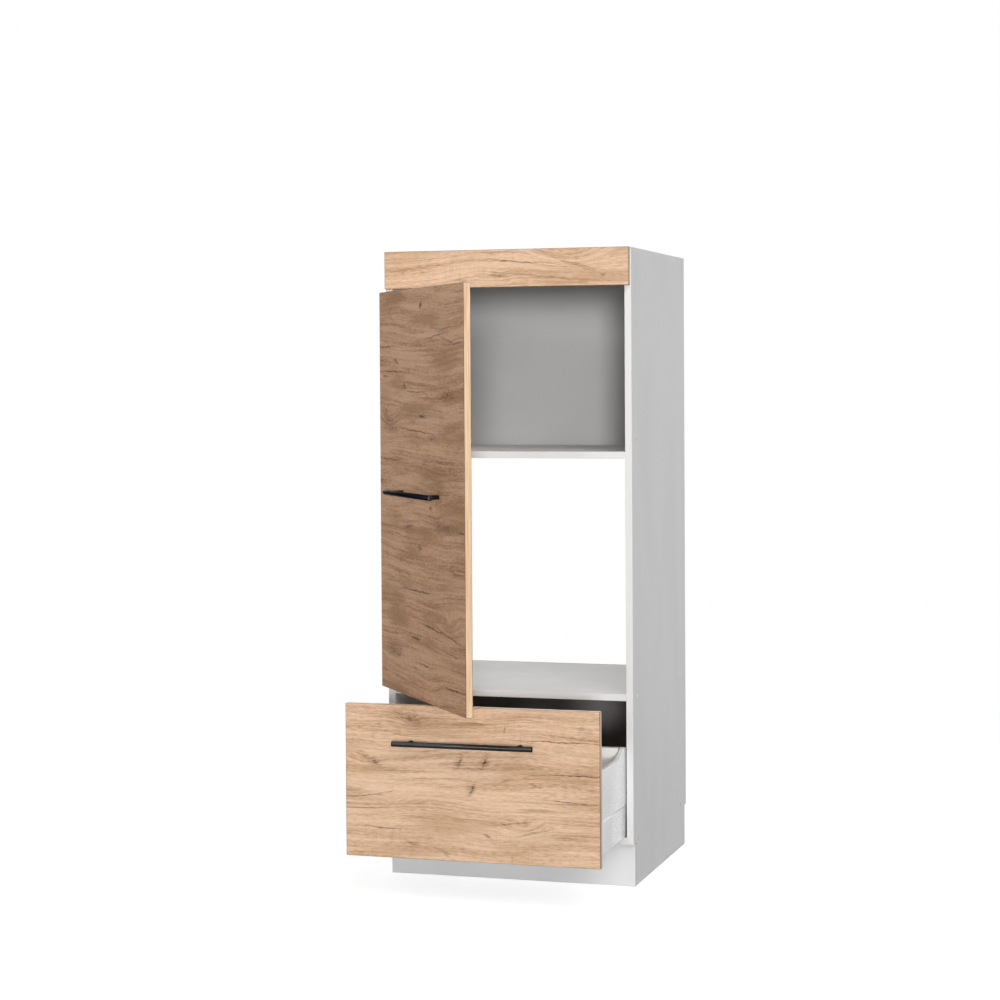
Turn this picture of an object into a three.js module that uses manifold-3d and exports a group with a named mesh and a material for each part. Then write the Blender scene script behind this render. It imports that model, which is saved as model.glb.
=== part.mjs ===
// Tall kitchen cabinet for a microwave and an oven: white carcass, oak fronts, one hinged door
// over both niches and one double-wall drawer on full-extension runners.
// Millimetres. X runs to the right, Y to the back and Z up, with the floor at Z = 0.
// Pieces are written with the carcass front edge at Y = 0. The whole cabinet is then moved so
// that the origin is under the middle of the plinth.

import * as THREE from 'three';
import { mergeVertices } from 'three/addons/utils/BufferGeometryUtils.js';
import Module from 'manifold-3d';

// ---------------------------------------------------------------- driving dimensions

// carcass
const cabinetWidth = 600;
const cabinetHeight = 1486;
const cabinetDepth = 560;
const board = 16;
const baseHeight = 100;           // underside of the bottom panel
const lowerShelfTop = 450;        // the oven stands here
const upperShelfTop = 1013;       // the microwave stands here
const backNotchDepth = 16;        // foot of the side panels clears a skirting board
const plinthSetback = 15;
const plinthBoard = 16;
const plinthTopGap = 1;

// back panels, in a saw-cut groove
const backPanel = 3.2;
const grooveWidth = 3.8;
const grooveDepth = 8;
const grooveFromBack = 9;
const backPanelSideGap = 0.5;

// fronts
const frontBoard = 16;
const frontReveal = 2;            // fronts stop short of the carcass edge on both sides
const frontStandOff = 2;          // closed fronts rest this far from the carcass, on bumpers
const fasciaHeight = 88;
const fasciaToDoorGap = 8;
const doorBottom = 453;
const doorToDrawerGap = 3;
const drawerFrontLift = 3;        // lower edge above the underside of the bottom panel

// pose of the moving pieces
const doorAngle = 52.5;           // degrees open
const drawerPull = 280;

// bar handles
const barLength = 328;
const barRadius = 6;
const barChamfer = 0.8;
const postSpacing = 256;
const postRadius = 5;
const barStandOff = 32;
const drawerHandleShift = -12;
const drawerHandleDrop = 84;
const handleScrewRadius = 2;
const handleScrewGrip = 8;

// holes for the carcass screws and for the bolts that join cabinets side by side
const screwCore = 5.6;            // diameters
const screwShank = 7.2;
const screwHead = 10.2;
const screwHeadDepth = 5;
const screwReach = 52;            // hole bottom, from a side panel's outer face
const upperScrewFront = 44;
const upperScrewRear = 446;
const lowerScrewFront = 44;
const lowerScrewRear = 498;
const joiningHoleHeight = 1040;
const joiningHole = 8;

// concealed hinges
const hingeFromDoorEnd = 100;
const cupRadius = 17.3;
const cupWall = 1;
const cupDepth = 12.5;
const cupFromDoorEdge = 21.5;
const cupFlange = 1;
const cupFlangeLength = 62;
const cupFlangeWidth = 18;
const cupScrewSpacing = 48;
const cupScrewInset = 6;
const pivotBeyondSide = 0.5;      // the door turns about this line at the carcass corner
const pivotBeforeCarcass = 1;
const armPinHeight = 5;           // arm pin above the side panel's inner face
const armPinSetback = 2.5;
const linkReach = 14.5;           // inner link, along the closed door
const linkDrop = 7;               // inner link, into the closed door
const linkRadius = 2.6;
const linkPinRadius = 1.3;
const linkEyeRadius = 1.9;
const innerLinkHalf = 4.4;
const outerLinkInside = 5;
const outerLinkOutside = 6.4;
const armHalf = 8;
const armSheet = 1.5;
const armHeight = 16;
const armEnd = 62;
const plateWing = 2.5;
const plateSetback = 37;
const plateScrewSpacing = 32;
const plateRidgeHeight = 13;
const plateRidgeFront = 17;
const plateRidgeRear = 21;

// drawer, nominal length along the runner
const drawerLength = 300;
const sheet = 1.2;
const railClearance = 4;          // side panel to the drawer's steel side
const drawerSideThickness = 16;
const drawerSideBottom = 118;
const drawerSideTop = 190;
const drawerWallTop = 305;
const drawerBackTop = 324;
const drawerWallThickness = 12;
const drawerWallStep = 2;         // the upper wall stands back from the lower profile
const drawerFloorSeat = 124;
const floorFlange = 12;
const runnerSetback = 3;
const slideTabRise = 12;            // the slide's tab on the drawer side, above its plate
const slideTabDrop = 18;
const slideLipDrop = 10;
const frontBracketRise = 46;       // above the lower profile
const frontBracketReach = 14;
const frontTongueLength = 40;
const backBracketReach = 26;
const backScrewInset = 36;
const railFlangeHeight = 39;
const railLipHeight = 16;
const railScrewInset = 37;
const runnerSlip = 0.6;           // running clearance between the runner members

// small gaps and screws
const seatGap = 0.3;
const holeClearance = 0.5;
const pilotRadius = 2;
const pilotDepth = 12;
const bumperRadius = 4;
const bumperThickness = 1.4;
const roundSegments = 12;
const pilotSegments = 8;
const cupSegments = 28;

// ---------------------------------------------------------------- worked-out places

const innerFace = cabinetWidth / 2 - board;
const backPanelY = cabinetDepth - grooveFromBack;
const topPanelZ = cabinetHeight - board;
const upperShelfZ = upperShelfTop - board;
const lowerShelfZ = lowerShelfTop - board;
const bottomPanelTop = baseHeight + board;
const plinthBack = plinthSetback + plinthBoard;
const frontWidth = cabinetWidth - 2 * frontReveal;
const frontInner = -frontStandOff;
const frontOuter = frontInner - frontBoard;
const fasciaBottom = cabinetHeight - fasciaHeight;
const doorTop = fasciaBottom - fasciaToDoorGap;
const drawerFrontBottom = baseHeight + drawerFrontLift;
const drawerFrontTop = doorBottom - doorToDrawerGap;
const hingeHeights = { lower: doorBottom + hingeFromDoorEnd, upper: doorTop - hingeFromDoorEnd };
const doorPivot = new THREE.Vector2(-cabinetWidth / 2 - pivotBeyondSide, -pivotBeforeCarcass);
const doorTurn = THREE.MathUtils.degToRad(doorAngle);
const cupX = -frontWidth / 2 + cupFromDoorEdge;
const armPin = new THREE.Vector2(-innerFace + armPinHeight, armPinSetback);
const linkVector = new THREE.Vector2(linkReach, -linkDrop);
const cupPin = doorPivot.clone().add(linkVector);
const kneePin = armPin.clone().add(linkVector);

// ---------------------------------------------------------------- finishes

const finish = (color, roughness, metalness = 0) => ({ color, roughness, metalness });
const whiteMelamine = finish(0xdedede, 0.5);
const whiteBack = finish(0xc4c4c4, 0.55);
const charcoalBack = finish(0x454241, 0.6);
const oakFront = finish(0xd9b491, 0.55);
const blackMetal = finish(0x2c2e31, 0.32, 0.7);
const whiteSteel = finish(0xe0dfdf, 0.42, 0.1);
const zincSteel = finish(0xb4b7ba, 0.35, 0.9);
const nickelSteel = finish(0xc3c2be, 0.28, 0.95);
const whitePlastic = finish(0xececea, 0.4);
const clearRubber = finish(0xd7d9d8, 0.35);

// ---------------------------------------------------------------- solid tools

const wasm = await Module();
wasm.setup();

function solidOf(geometry) {
  const bare = geometry.clone();
  bare.deleteAttribute('normal');
  bare.deleteAttribute('uv');
  const welded = mergeVertices(bare, 1e-4);
  return new wasm.Manifold(new wasm.Mesh({
    numProp: 3,
    vertProperties: welded.attributes.position.array,
    triVerts: new Uint32Array(welded.index.array),
  }));
}

function geometryOf(solid) {
  const mesh = solid.getMesh();
  const geometry = new THREE.BufferGeometry();
  geometry.setAttribute('position', new THREE.BufferAttribute(mesh.vertProperties, 3));
  geometry.setIndex(new THREE.BufferAttribute(mesh.triVerts, 1));
  geometry.computeVertexNormals();
  return geometry;
}

const join = (solids) => solids.reduce((whole, solid) => whole.add(solid));
const cut = (solid, tools) => tools.reduce((rest, tool) => rest.subtract(tool), solid);

// A block between two limits on each axis, given in either order.
function block([x0, x1], [y0, y1], [z0, z1]) {
  const geometry = new THREE.BoxGeometry(Math.abs(x1 - x0), Math.abs(y1 - y0), Math.abs(z1 - z0));
  geometry.translate((x0 + x1) / 2, (y0 + y1) / 2, (z0 + z1) / 2);
  return solidOf(geometry);
}

// Turns a shape drawn on local X and Y, and built along local Z, onto another axis.
const layOnAxis = {
  x: new THREE.Matrix4().set(0, 0, 1, 0, 1, 0, 0, 0, 0, 1, 0, 0, 0, 0, 0, 1),
  y: new THREE.Matrix4().set(1, 0, 0, 0, 0, 0, -1, 0, 0, 1, 0, 0, 0, 0, 0, 1),
  z: new THREE.Matrix4(),
};

// A prism along an axis between two places. Its outline is drawn on the other two axes, in
// alphabetical order, as a Shape or as a list of corners.
function prism(outline, axis, start, end, bevel = 0) {
  const shape = Array.isArray(outline)
    ? new THREE.Shape(outline.map(([a, b]) => new THREE.Vector2(a, b)))
    : outline;
  const low = Math.min(start, end);
  const high = Math.max(start, end);
  const geometry = new THREE.ExtrudeGeometry(shape, {
    depth: high - low - 2 * bevel,
    bevelEnabled: bevel > 0,
    bevelThickness: bevel,
    bevelSize: bevel,
    bevelOffset: -bevel,
    bevelSegments: 2,
    curveSegments: roundSegments,
  });
  geometry.translate(0, 0, bevel + (axis === 'y' ? -high : low));
  geometry.applyMatrix4(layOnAxis[axis]);
  return solidOf(geometry);
}

// A solid of revolution: its profile is [radius, place along the axis], from axis to axis.
function turned(profile, axis, centre, segments = roundSegments) {
  const points = profile.map(([radius, place]) => new THREE.Vector2(radius, place));
  const rising = profile[profile.length - 1][1] > profile[0][1];
  const geometry = new THREE.LatheGeometry(rising ? points : points.reverse(), segments);
  if (axis === 'x') geometry.rotateZ(-Math.PI / 2);
  if (axis === 'z') geometry.rotateX(Math.PI / 2);
  geometry.translate(...centre);
  return solidOf(geometry);
}

// A plain round bar along an axis from one place to another, at a centre on the other two axes.
function rod(radius, axis, start, end, centre, segments = roundSegments) {
  return turned([[0, start], [radius, start], [radius, end], [0, end]], axis, centre, segments);
}

// Two equal circles joined by their tangents.
function stadium(a, b, radius) {
  const along = Math.atan2(b.y - a.y, b.x - a.x);
  const shape = new THREE.Shape();
  shape.absarc(a.x, a.y, radius, along + Math.PI / 2, along + 1.5 * Math.PI, false);
  shape.absarc(b.x, b.y, radius, along - Math.PI / 2, along + Math.PI / 2, false);
  shape.closePath();
  return shape;
}

function addPiece(parent, name, solid, look, position = [0, 0, 0]) {
  const mesh = new THREE.Mesh(geometryOf(solid), new THREE.MeshStandardMaterial(look));
  mesh.name = name;
  mesh.position.set(...position);
  parent.add(mesh);
}

// ---------------------------------------------------------------- drilled holes

const carcassScrewRows = [
  { z: baseHeight + board / 2, places: [lowerScrewFront, lowerScrewRear] },
  { z: lowerShelfTop - board / 2, places: [lowerScrewFront, lowerScrewRear] },
  { z: topPanelZ + board / 2, places: [upperScrewFront, upperScrewRear] },
];

// A stepped hole for a carcass screw, through a side panel and into the end of a panel.
function carcassScrewHole(side, y, z) {
  const outer = cabinetWidth / 2;
  const floor = outer - screwHeadDepth;
  return join([
    rod(screwHead / 2, 'x', side * floor, side * (outer + 1), [0, y, z]),
    rod(screwShank / 2, 'x', side * (innerFace + 0.1), side * floor, [0, y, z]),
    rod(screwCore / 2, 'x', side * (outer - screwReach), side * (innerFace + 0.1), [0, y, z]),
  ]);
}

const screwHolesAt = ({ z, places }) =>
  [-1, 1].flatMap((side) => places.map((y) => carcassScrewHole(side, y, z)));

// A pilot hole for a small screw, from just above a face and on in a direction.
function pilotHole(axis, face, direction, centre) {
  return rod(pilotRadius, axis, face - direction * 1, face + direction * pilotDepth, centre, pilotSegments);
}

// ---------------------------------------------------------------- side panels

const hingePlateScrews = Object.values(hingeHeights).flatMap((z) =>
  [-1, 1].map((way) => [0, plateSetback, z + way * plateScrewSpacing / 2]));
const railScrewPlaces = [runnerSetback + railScrewInset, runnerSetback + drawerLength - railScrewInset];
const railScrewHeight = bottomPanelTop + railFlangeHeight / 2;
const shelfPinPlaces = [60, 480];
const shelfPinRadius = 2.5;
const shelfPinPlate = 1.5;
const shelfPinDepth = 8;
const shelfPinZ = upperShelfZ - shelfPinPlate - shelfPinRadius / 2;

function sidePanel(side) {
  const outline = [
    [0, baseHeight],
    [plinthBack, baseHeight],
    [plinthBack, 0],
    [cabinetDepth - backNotchDepth, 0],
    [cabinetDepth - backNotchDepth, baseHeight],
    [cabinetDepth, baseHeight],
    [cabinetDepth, cabinetHeight],
    [0, cabinetHeight],
  ];
  const outer = side * cabinetWidth / 2;
  const inner = side * innerFace;
  const holes = carcassScrewRows.flatMap(({ z, places }) => places.map((y) => carcassScrewHole(side, y, z)));
  [upperScrewFront, upperScrewRear].forEach((y) => {
    holes.push(rod(joiningHole / 2, 'x', inner - side, outer + side, [0, y, joiningHoleHeight]));
  });
  shelfPinPlaces.forEach((y) => {
    const floor = inner + side * (shelfPinDepth + holeClearance);
    holes.push(rod(shelfPinRadius + holeClearance, 'x', inner - side, floor, [0, y, shelfPinZ]));
  });
  railScrewPlaces.forEach((y) => {
    holes.push(pilotHole('x', inner, side, [0, y, railScrewHeight]));
  });
  if (side < 0) {
    hingePlateScrews.forEach((centre) => holes.push(pilotHole('x', inner, side, centre)));
  }
  const groove = block(
    [inner - side, inner + side * grooveDepth],
    [backPanelY, backPanelY + grooveWidth],
    [baseHeight - 1, cabinetHeight + 1],
  );
  return cut(prism(outline, 'x', inner, outer), [...holes, groove]);
}

// ---------------------------------------------------------------- panels between the sides

const rearScrewPlaces = [-0.42, 0, 0.42].map((share) => share * cabinetWidth);
const rearScrewRows = [
  baseHeight + board / 2,
  lowerShelfTop - board / 2,
  upperShelfTop - board / 2,
  topPanelZ + board / 2,
];
const rearFace = backPanelY + backPanel;
const rearScrewHoles = (z) => rearScrewPlaces.map((x) => pilotHole('y', rearFace, -1, [x, 0, z]));

// A panel that lies between the sides and runs back to the back panel.
function layer(underside, holes) {
  const body = block([-innerFace, innerFace], [0, backPanelY], [underside, underside + board]);
  return cut(body, [...holes, ...rearScrewHoles(underside + board / 2)]);
}

function backPanelBetween(low, high) {
  const half = innerFace + grooveDepth - backPanelSideGap;
  const holes = rearScrewRows.filter((z) => z > low && z < high).flatMap(rearScrewHoles);
  return cut(block([-half, half], [backPanelY, rearFace], [low, high]), holes);
}

// ---------------------------------------------------------------- fascia and plinth

const bracketWidth = 20;
const bracketLeg = 30;
const bracketSheet = 2;
const bracketPlace = 0.3 * cabinetWidth;
const bracketScrewReach = 18;

function fasciaBracket(x) {
  const under = topPanelZ;
  const outline = [
    [0, under],
    [0, under - bracketLeg],
    [bracketSheet, under - bracketLeg],
    [bracketSheet, under - 2 * bracketSheet],
    [2 * bracketSheet, under - bracketSheet],
    [bracketLeg, under - bracketSheet],
    [bracketLeg, under],
  ];
  return cut(prism(outline, 'x', x - bracketWidth / 2, x + bracketWidth / 2), bracketScrewHoles(x));
}

const bracketScrewHoles = (x) => [
  pilotHole('z', topPanelZ - bracketSheet, 1, [x, bracketScrewReach, 0]),
  pilotHole('y', bracketSheet, -1, [x, 0, topPanelZ - bracketScrewReach]),
];

const plinthTop = baseHeight - plinthTopGap;
const blockSize = 30;
const blockWall = 4;
const blockLow = 22;
const blockHigh = 72;

// A moulded corner block with two walls and a gusset, behind the plinth and inside a side panel.
function plinthBlock(side) {
  const x = (u) => side * (innerFace - u);
  const corner = [
    [x(0), plinthBack],
    [x(blockSize), plinthBack],
    [x(blockSize), plinthBack + blockWall],
    [x(blockWall), plinthBack + blockWall],
    [x(blockWall), plinthBack + blockSize],
    [x(0), plinthBack + blockSize],
  ];
  const gusset = [
    [x(blockWall / 2), plinthBack + blockWall / 2],
    [x(blockSize - blockWall / 2), plinthBack + blockWall / 2],
    [x(blockWall / 2), plinthBack + blockSize - blockWall / 2],
  ];
  const middle = (blockLow + blockHigh) / 2;
  return join([
    prism(corner, 'z', blockLow, blockHigh),
    prism(gusset, 'z', middle - blockWall / 2, middle + blockWall / 2),
  ]);
}

// ---------------------------------------------------------------- shelf pins

// A steel peg in the side panel with a flat tongue under the shelf.
function shelfPin(side, y) {
  const reach = 9;
  const inner = side * innerFace;
  const tongue = block(
    [inner, inner - side * reach],
    [y - reach / 2, y + reach / 2],
    [upperShelfZ - shelfPinPlate, upperShelfZ],
  );
  const peg = rod(shelfPinRadius, 'x', inner + side * shelfPinDepth, inner - side * (reach - 2), [0, y, shelfPinZ]);
  return join([peg, tongue]);
}

// ---------------------------------------------------------------- bar handles

// Bar and posts of one welded handle. Its middle is at the origin, on the face it is fixed to.
function barHandle() {
  const half = barLength / 2;
  const bar = turned([
    [0, -half],
    [barRadius - barChamfer, -half],
    [barRadius, -half + barChamfer],
    [barRadius, half - barChamfer],
    [barRadius - barChamfer, half],
    [0, half],
  ], 'x', [0, -barStandOff, 0], 2 * roundSegments);
  const posts = [-1, 1].map((way) =>
    rod(postRadius, 'y', -barStandOff, -seatGap, [way * postSpacing / 2, 0, 0], 2 * roundSegments));
  const threads = [-1, 1].map((way) =>
    rod(handleScrewRadius + seatGap, 'y', -handleScrewGrip - 1, 0, [way * postSpacing / 2, 0, 0]));
  return cut(join([bar, ...posts]), threads);
}

// A handle screw, put in from the inner face of the front.
function handleScrew() {
  const headRadius = 4;
  const headHeight = 2.4;
  const face = frontBoard + seatGap;
  const profile = [
    [0, face + headHeight],
    [0.7 * headRadius, face + headHeight],
    [headRadius, face + 0.4 * headHeight],
    [headRadius, face],
    [handleScrewRadius, face],
    [handleScrewRadius, -handleScrewGrip],
    [0, -handleScrewGrip],
  ];
  return turned(profile, 'y', [0, 0, 0]);
}

const handleHoles = (x, z) => [-1, 1].map((way) => {
  const centre = [x + way * postSpacing / 2, 0, z];
  return rod(handleScrewRadius + holeClearance, 'y', frontOuter - 1, frontInner + 1, centre);
});

// A soft bumper on the inner face of a front.
const bumperX = cabinetWidth / 2 - board / 2;
const bumperFromEnd = 30;
const bumper = (x, z) => rod(bumperRadius, 'y', frontInner + seatGap, frontInner + seatGap + bumperThickness, [x, 0, z]);

// ---------------------------------------------------------------- concealed hinges

// Each hinge is written about its own height, with the door closed. An inner link turns on the
// arm by the same angle as the door, and an outer link joins its far end to the cup without
// turning, so the door turns about one line at the corner of the carcass.

const fromPanel = (height) => -innerFace + height;

function hingePlate() {
  const wingHalf = plateScrewSpacing / 2;
  const wingRadius = 7;
  const wing = prism(
    [[wingHalf, -1], [-wingHalf, 1]].reduce((shape, [z, way]) => {
      const turn = way < 0 ? 0 : Math.PI;
      shape.absarc(plateSetback, z, wingRadius, turn, turn + Math.PI, false);
      return shape;
    }, new THREE.Shape()).closePath(),
    'x', fromPanel(0), fromPanel(plateWing),
  );
  const ridge = block(
    [fromPanel(0), fromPanel(plateRidgeHeight)],
    [plateSetback - plateRidgeFront, plateSetback + plateRidgeRear],
    [-armHalf + armSheet + holeClearance, armHalf - armSheet - holeClearance],
  );
  const screwHoles = [-1, 1].map((way) =>
    pilotHole('x', fromPanel(plateWing), -1, [0, plateSetback, way * wingHalf]));
  return cut(join([wing, ridge]), [...screwHoles, armScrewHole()]);
}

const armScrewBehind = 11;
const armSlotAhead = 7;
const armScrewY = plateSetback + armScrewBehind;
const armSlotY = plateSetback - armSlotAhead;
const armScrewHole = () => pilotHole('x', fromPanel(armHeight), -1, [0, armScrewY, 0]);

// A pressed channel that narrows to two cheeks round the arm pin.
function hingeArm() {
  const headRadius = 3.5;
  const headReach = 9;
  const shoulder = 16;
  const foot = plateWing + seatGap;
  const outline = new THREE.Shape();
  outline.absarc(armPin.x, armPin.y, headRadius, Math.PI, 2 * Math.PI, false);
  outline.lineTo(armPin.x + headRadius, headReach - 2);
  outline.quadraticCurveTo(fromPanel(armHeight), headReach, fromPanel(armHeight), shoulder);
  outline.lineTo(fromPanel(armHeight), armEnd - 3);
  outline.quadraticCurveTo(fromPanel(armHeight), armEnd, fromPanel(armHeight) - 3, armEnd);
  outline.lineTo(fromPanel(foot), armEnd);
  outline.lineTo(fromPanel(foot), headReach);
  outline.closePath();
  const gap = armHalf - armSheet;
  const tools = [
    block([fromPanel(-1), fromPanel(armHeight - armSheet)], [shoulder, armEnd - armSheet], [-gap, gap]),
    block([fromPanel(-1), fromPanel(armPinHeight + headRadius)], [headReach, shoulder + 1], [-gap, gap]),
    block([fromPanel(-1), fromPanel(armHeight + armSheet)], [armPin.y - 2 * headRadius, headReach], [-gap, gap]),
    armScrewHole(),
    prism(stadium({ x: armSlotY - 3, y: 0 }, { x: armSlotY + 3, y: 0 }, 2.2), 'x',
      fromPanel(armHeight - 2 * armSheet), fromPanel(armHeight + 1)),
  ];
  const pin = rod(linkPinRadius, 'z', -armHalf + armSheet / 2, armHalf - armSheet / 2, [armPin.x, armPin.y, 0]);
  return join([cut(prism(outline, 'z', -armHalf, armHalf), tools), pin]);
}

function hingeInnerLink() {
  const eye = ({ x, y }) => rod(linkEyeRadius, 'z', -innerLinkHalf - 1, innerLinkHalf + 1, [x, y, 0]);
  return cut(
    prism(stadium(armPin, kneePin, linkRadius), 'z', -innerLinkHalf, innerLinkHalf),
    [eye(armPin), eye(kneePin)],
  );
}

// Two cheeks, the knee pin and a spacer. The eye at the cup end runs free round the cup pin.
function hingeOuterLink() {
  const outline = stadium(cupPin, kneePin, linkRadius);
  const middle = cupPin.clone().add(kneePin).multiplyScalar(0.5);
  const bar = ({ x, y }, radius) => rod(radius, 'z', -outerLinkInside - 0.5, outerLinkInside + 0.5, [x, y, 0]);
  const whole = join([
    prism(outline, 'z', outerLinkInside, outerLinkOutside),
    prism(outline, 'z', -outerLinkOutside, -outerLinkInside),
    bar(kneePin, linkPinRadius),
    bar(middle, linkPinRadius),
  ]);
  const eye = rod(linkEyeRadius, 'z', -outerLinkOutside - 1, outerLinkOutside + 1, [cupPin.x, cupPin.y, 0]);
  return cut(whole, [eye]);
}

const cupScrewX = cupX + cupScrewInset;
const flangeFace = frontInner + seatGap + cupFlange;
const cupScrewCentres = [-1, 1].map((way) => [cupScrewX, 0, way * cupScrewSpacing / 2]);

// A pressed steel cup with its flange, and the pin that the outer link turns on.
function hingeCup() {
  const inside = cupRadius - cupWall;
  const lip = flangeFace - cupDepth;
  const centre = [cupX, 0, 0];
  const flangeEnd = cupFlangeLength / 2 - cupFlangeWidth / 2;
  const flange = join([
    rod(cupRadius + 2, 'y', frontInner + seatGap, flangeFace, centre, cupSegments),
    prism(stadium({ x: cupScrewX, y: -flangeEnd }, { x: cupScrewX, y: flangeEnd }, cupFlangeWidth / 2),
      'y', frontInner + seatGap, flangeFace),
  ]);
  const body = rod(cupRadius, 'y', lip, flangeFace, centre, cupSegments);
  const hollow = rod(inside, 'y', lip + cupWall, flangeFace + 1, centre, cupSegments);
  const holes = cupScrewCentres.map((place) => pilotHole('y', flangeFace, -1, place));
  const offset = cupX - cupPin.x;
  const chord = Math.sqrt(inside ** 2 - offset ** 2) + cupWall / 2;
  const pin = rod(linkPinRadius, 'z', -chord, chord, [cupPin.x, cupPin.y, 0]);
  return join([cut(join([flange, body]), [hollow, ...holes]), pin]);
}

function doorCupHoles(z) {
  const lip = flangeFace - cupDepth - holeClearance;
  const screws = cupScrewCentres.map(([x, y, offset]) => pilotHole('y', flangeFace, -1, [x, y, z + offset]));
  return [rod(cupRadius + holeClearance, 'y', lip, frontInner + 1, [cupX, 0, z], cupSegments), ...screws];
}

// ---------------------------------------------------------------- drawer

// Places across a drawer side are measured inward from the side panel's inner face.
const across = (side, inward) => side * (innerFace - inward);
const drawerFrontEnd = frontInner + 1.5;
const drawerRearEnd = frontInner + drawerLength;
const profileInner = railClearance + drawerSideThickness;
const drawerHalf = innerFace - profileInner;
const wallOuter = railClearance + drawerWallStep;
const floorZ = drawerFloorSeat + sheet;
const backZ = floorZ + board;
const backPlate = 1.5;

// The lower steel profile: outer wall, top, inner wall and the flange that carries the floor.
function drawerSideProfile(side) {
  const x = (inward) => across(side, inward);
  const outline = [
    [x(railClearance), drawerSideBottom],
    [x(railClearance), drawerSideTop],
    [x(profileInner), drawerSideTop],
    [x(profileInner), floorZ],
    [x(profileInner + floorFlange), floorZ],
    [x(profileInner + floorFlange), drawerFloorSeat],
    [x(profileInner - sheet), drawerFloorSeat],
    [x(profileInner - sheet), drawerSideTop - sheet],
    [x(railClearance + sheet), drawerSideTop - sheet],
    [x(railClearance + sheet), drawerSideBottom],
  ];
  return prism(outline, 'y', drawerFrontEnd, drawerRearEnd);
}

// The upper wall is a hollow shell, open below. Its top edge sweeps up to the drawer back.
function drawerWallOutline(inset) {
  const rise = drawerBackTop - drawerWallTop;
  const run = 75;
  const radius = (run ** 2 + rise ** 2) / (2 * rise);
  const sweepEnd = drawerRearEnd - board;
  const sweepStart = sweepEnd - run;
  const shape = new THREE.Shape();
  const low = drawerSideTop - (inset > 0 ? 1 : 0);
  const angle = Math.asin(run / radius);
  shape.moveTo(drawerFrontEnd + inset, low);
  shape.lineTo(drawerRearEnd - inset, low);
  shape.lineTo(drawerRearEnd - inset, drawerBackTop - inset);
  shape.lineTo(sweepEnd, drawerBackTop - inset);
  shape.absarc(sweepStart, drawerWallTop + radius - inset, radius, -Math.PI / 2 + angle, -Math.PI / 2, true);
  shape.lineTo(drawerFrontEnd + inset, drawerWallTop - inset);
  shape.closePath();
  return shape;
}

function drawerWall(side) {
  const edge = 1;
  const outer = across(side, wallOuter);
  const inner = across(side, wallOuter + drawerWallThickness);
  const body = prism(drawerWallOutline(0), 'x', outer, inner, edge);
  const hollow = prism(drawerWallOutline(2 * edge), 'x', outer - side * 2 * edge, inner + side * 2 * edge);
  return cut(body, [hollow]);
}

// A plate on the rear end of the double wall, screwed to the drawer back.
const backBracketScrewZ = [backZ + backScrewInset, drawerBackTop - backScrewInset];
const backPlateFoot = bottomPanelTop + railFlangeHeight + 6;   // clears the runner below it
function drawerBackBracket(side) {
  const corner = 10;
  const x = (inward) => across(side, inward);
  const inwardEnd = profileInner + backBracketReach;
  const outline = [
    [x(profileInner), drawerFloorSeat],
    [x(inwardEnd - corner), drawerFloorSeat],
    [x(inwardEnd), drawerFloorSeat + corner],
    [x(inwardEnd), drawerBackTop - corner],
    [x(inwardEnd - corner), drawerBackTop],
    [x(wallOuter), drawerBackTop],
    [x(wallOuter), drawerSideTop],
    [x(railClearance), drawerSideTop],
    [x(railClearance), backPlateFoot],
    [x(profileInner), backPlateFoot],
  ];
  const plate = prism(outline, 'y', drawerRearEnd, drawerRearEnd + backPlate);
  return cut(plate, backBracketHoles(side));
}
const backBracketHoles = (side) => backBracketScrewZ.map((z) =>
  pilotHole('y', drawerRearEnd + backPlate, -1, [across(side, profileInner + backBracketReach / 2), 0, z]));

// A plate on the inner face of the drawer front, with a tongue inside the steel profile.
const frontBracketTop = drawerSideTop + frontBracketRise;
const frontBracketScrewZ = [backZ + frontBracketReach, frontBracketTop - frontBracketReach];
function drawerFrontBracket(side) {
  const x = (inward) => across(side, inward);
  const outline = [
    [x(railClearance), drawerFloorSeat],
    [x(profileInner), drawerFloorSeat],
    [x(profileInner), backZ],
    [x(profileInner + frontBracketReach), backZ],
    [x(profileInner + frontBracketReach), frontBracketTop - 6],
    [x(profileInner + frontBracketReach - 6), frontBracketTop],
    [x(wallOuter), frontBracketTop],
    [x(wallOuter), drawerSideTop],
    [x(railClearance), drawerSideTop],
  ];
  const tongue = block(
    [x(profileInner - 6), x(profileInner - 6 + sheet)],
    [drawerFrontEnd - 0.5, drawerFrontEnd + frontTongueLength],
    [drawerSideTop - frontTongueLength / 2, drawerSideTop - 3 * sheet],
  );
  const plate = join([prism(outline, 'y', frontInner, drawerFrontEnd), tongue]);
  return cut(plate, frontBracketHoles(side));
}
const frontBracketHoles = (side) => frontBracketScrewZ.map((z) =>
  pilotHole('y', drawerFrontEnd, -1, [across(side, profileInner + frontBracketReach / 2), 0, z]));

// ---------------------------------------------------------------- drawer runners

// Sections are drawn on X and Z. The rail is screwed to the side panel, the middle member runs
// on the rail at half the drawer's travel, and the slide hangs on the drawer's steel side.
const railTop = bottomPanelTop + railFlangeHeight;
const beamCentre = railClearance + sheet + 3.6;
const beamHalf = 2.6;
const beamLow = bottomPanelTop + sheet + runnerSlip;
const beamTop = railTop + 1;
const railWidth = beamCentre + beamHalf + runnerSlip + sheet;

function runnerRail(side) {
  const x = (inward) => across(side, inward);
  const floor = bottomPanelTop;
  const outline = [
    [x(0), floor],
    [x(0), railTop],
    [x(sheet), railTop],
    [x(sheet), floor + sheet],
    [x(railWidth - sheet), floor + sheet],
    [x(railWidth - sheet), floor + railLipHeight],
    [x(railWidth), floor + railLipHeight],
    [x(railWidth), floor],
  ];
  const rail = prism(outline, 'y', runnerSetback, runnerSetback + drawerLength);
  return cut(rail, railScrewPlaces.map((y) =>
    pilotHole('x', across(side, sheet), side, [0, y, railScrewHeight])));
}

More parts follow.
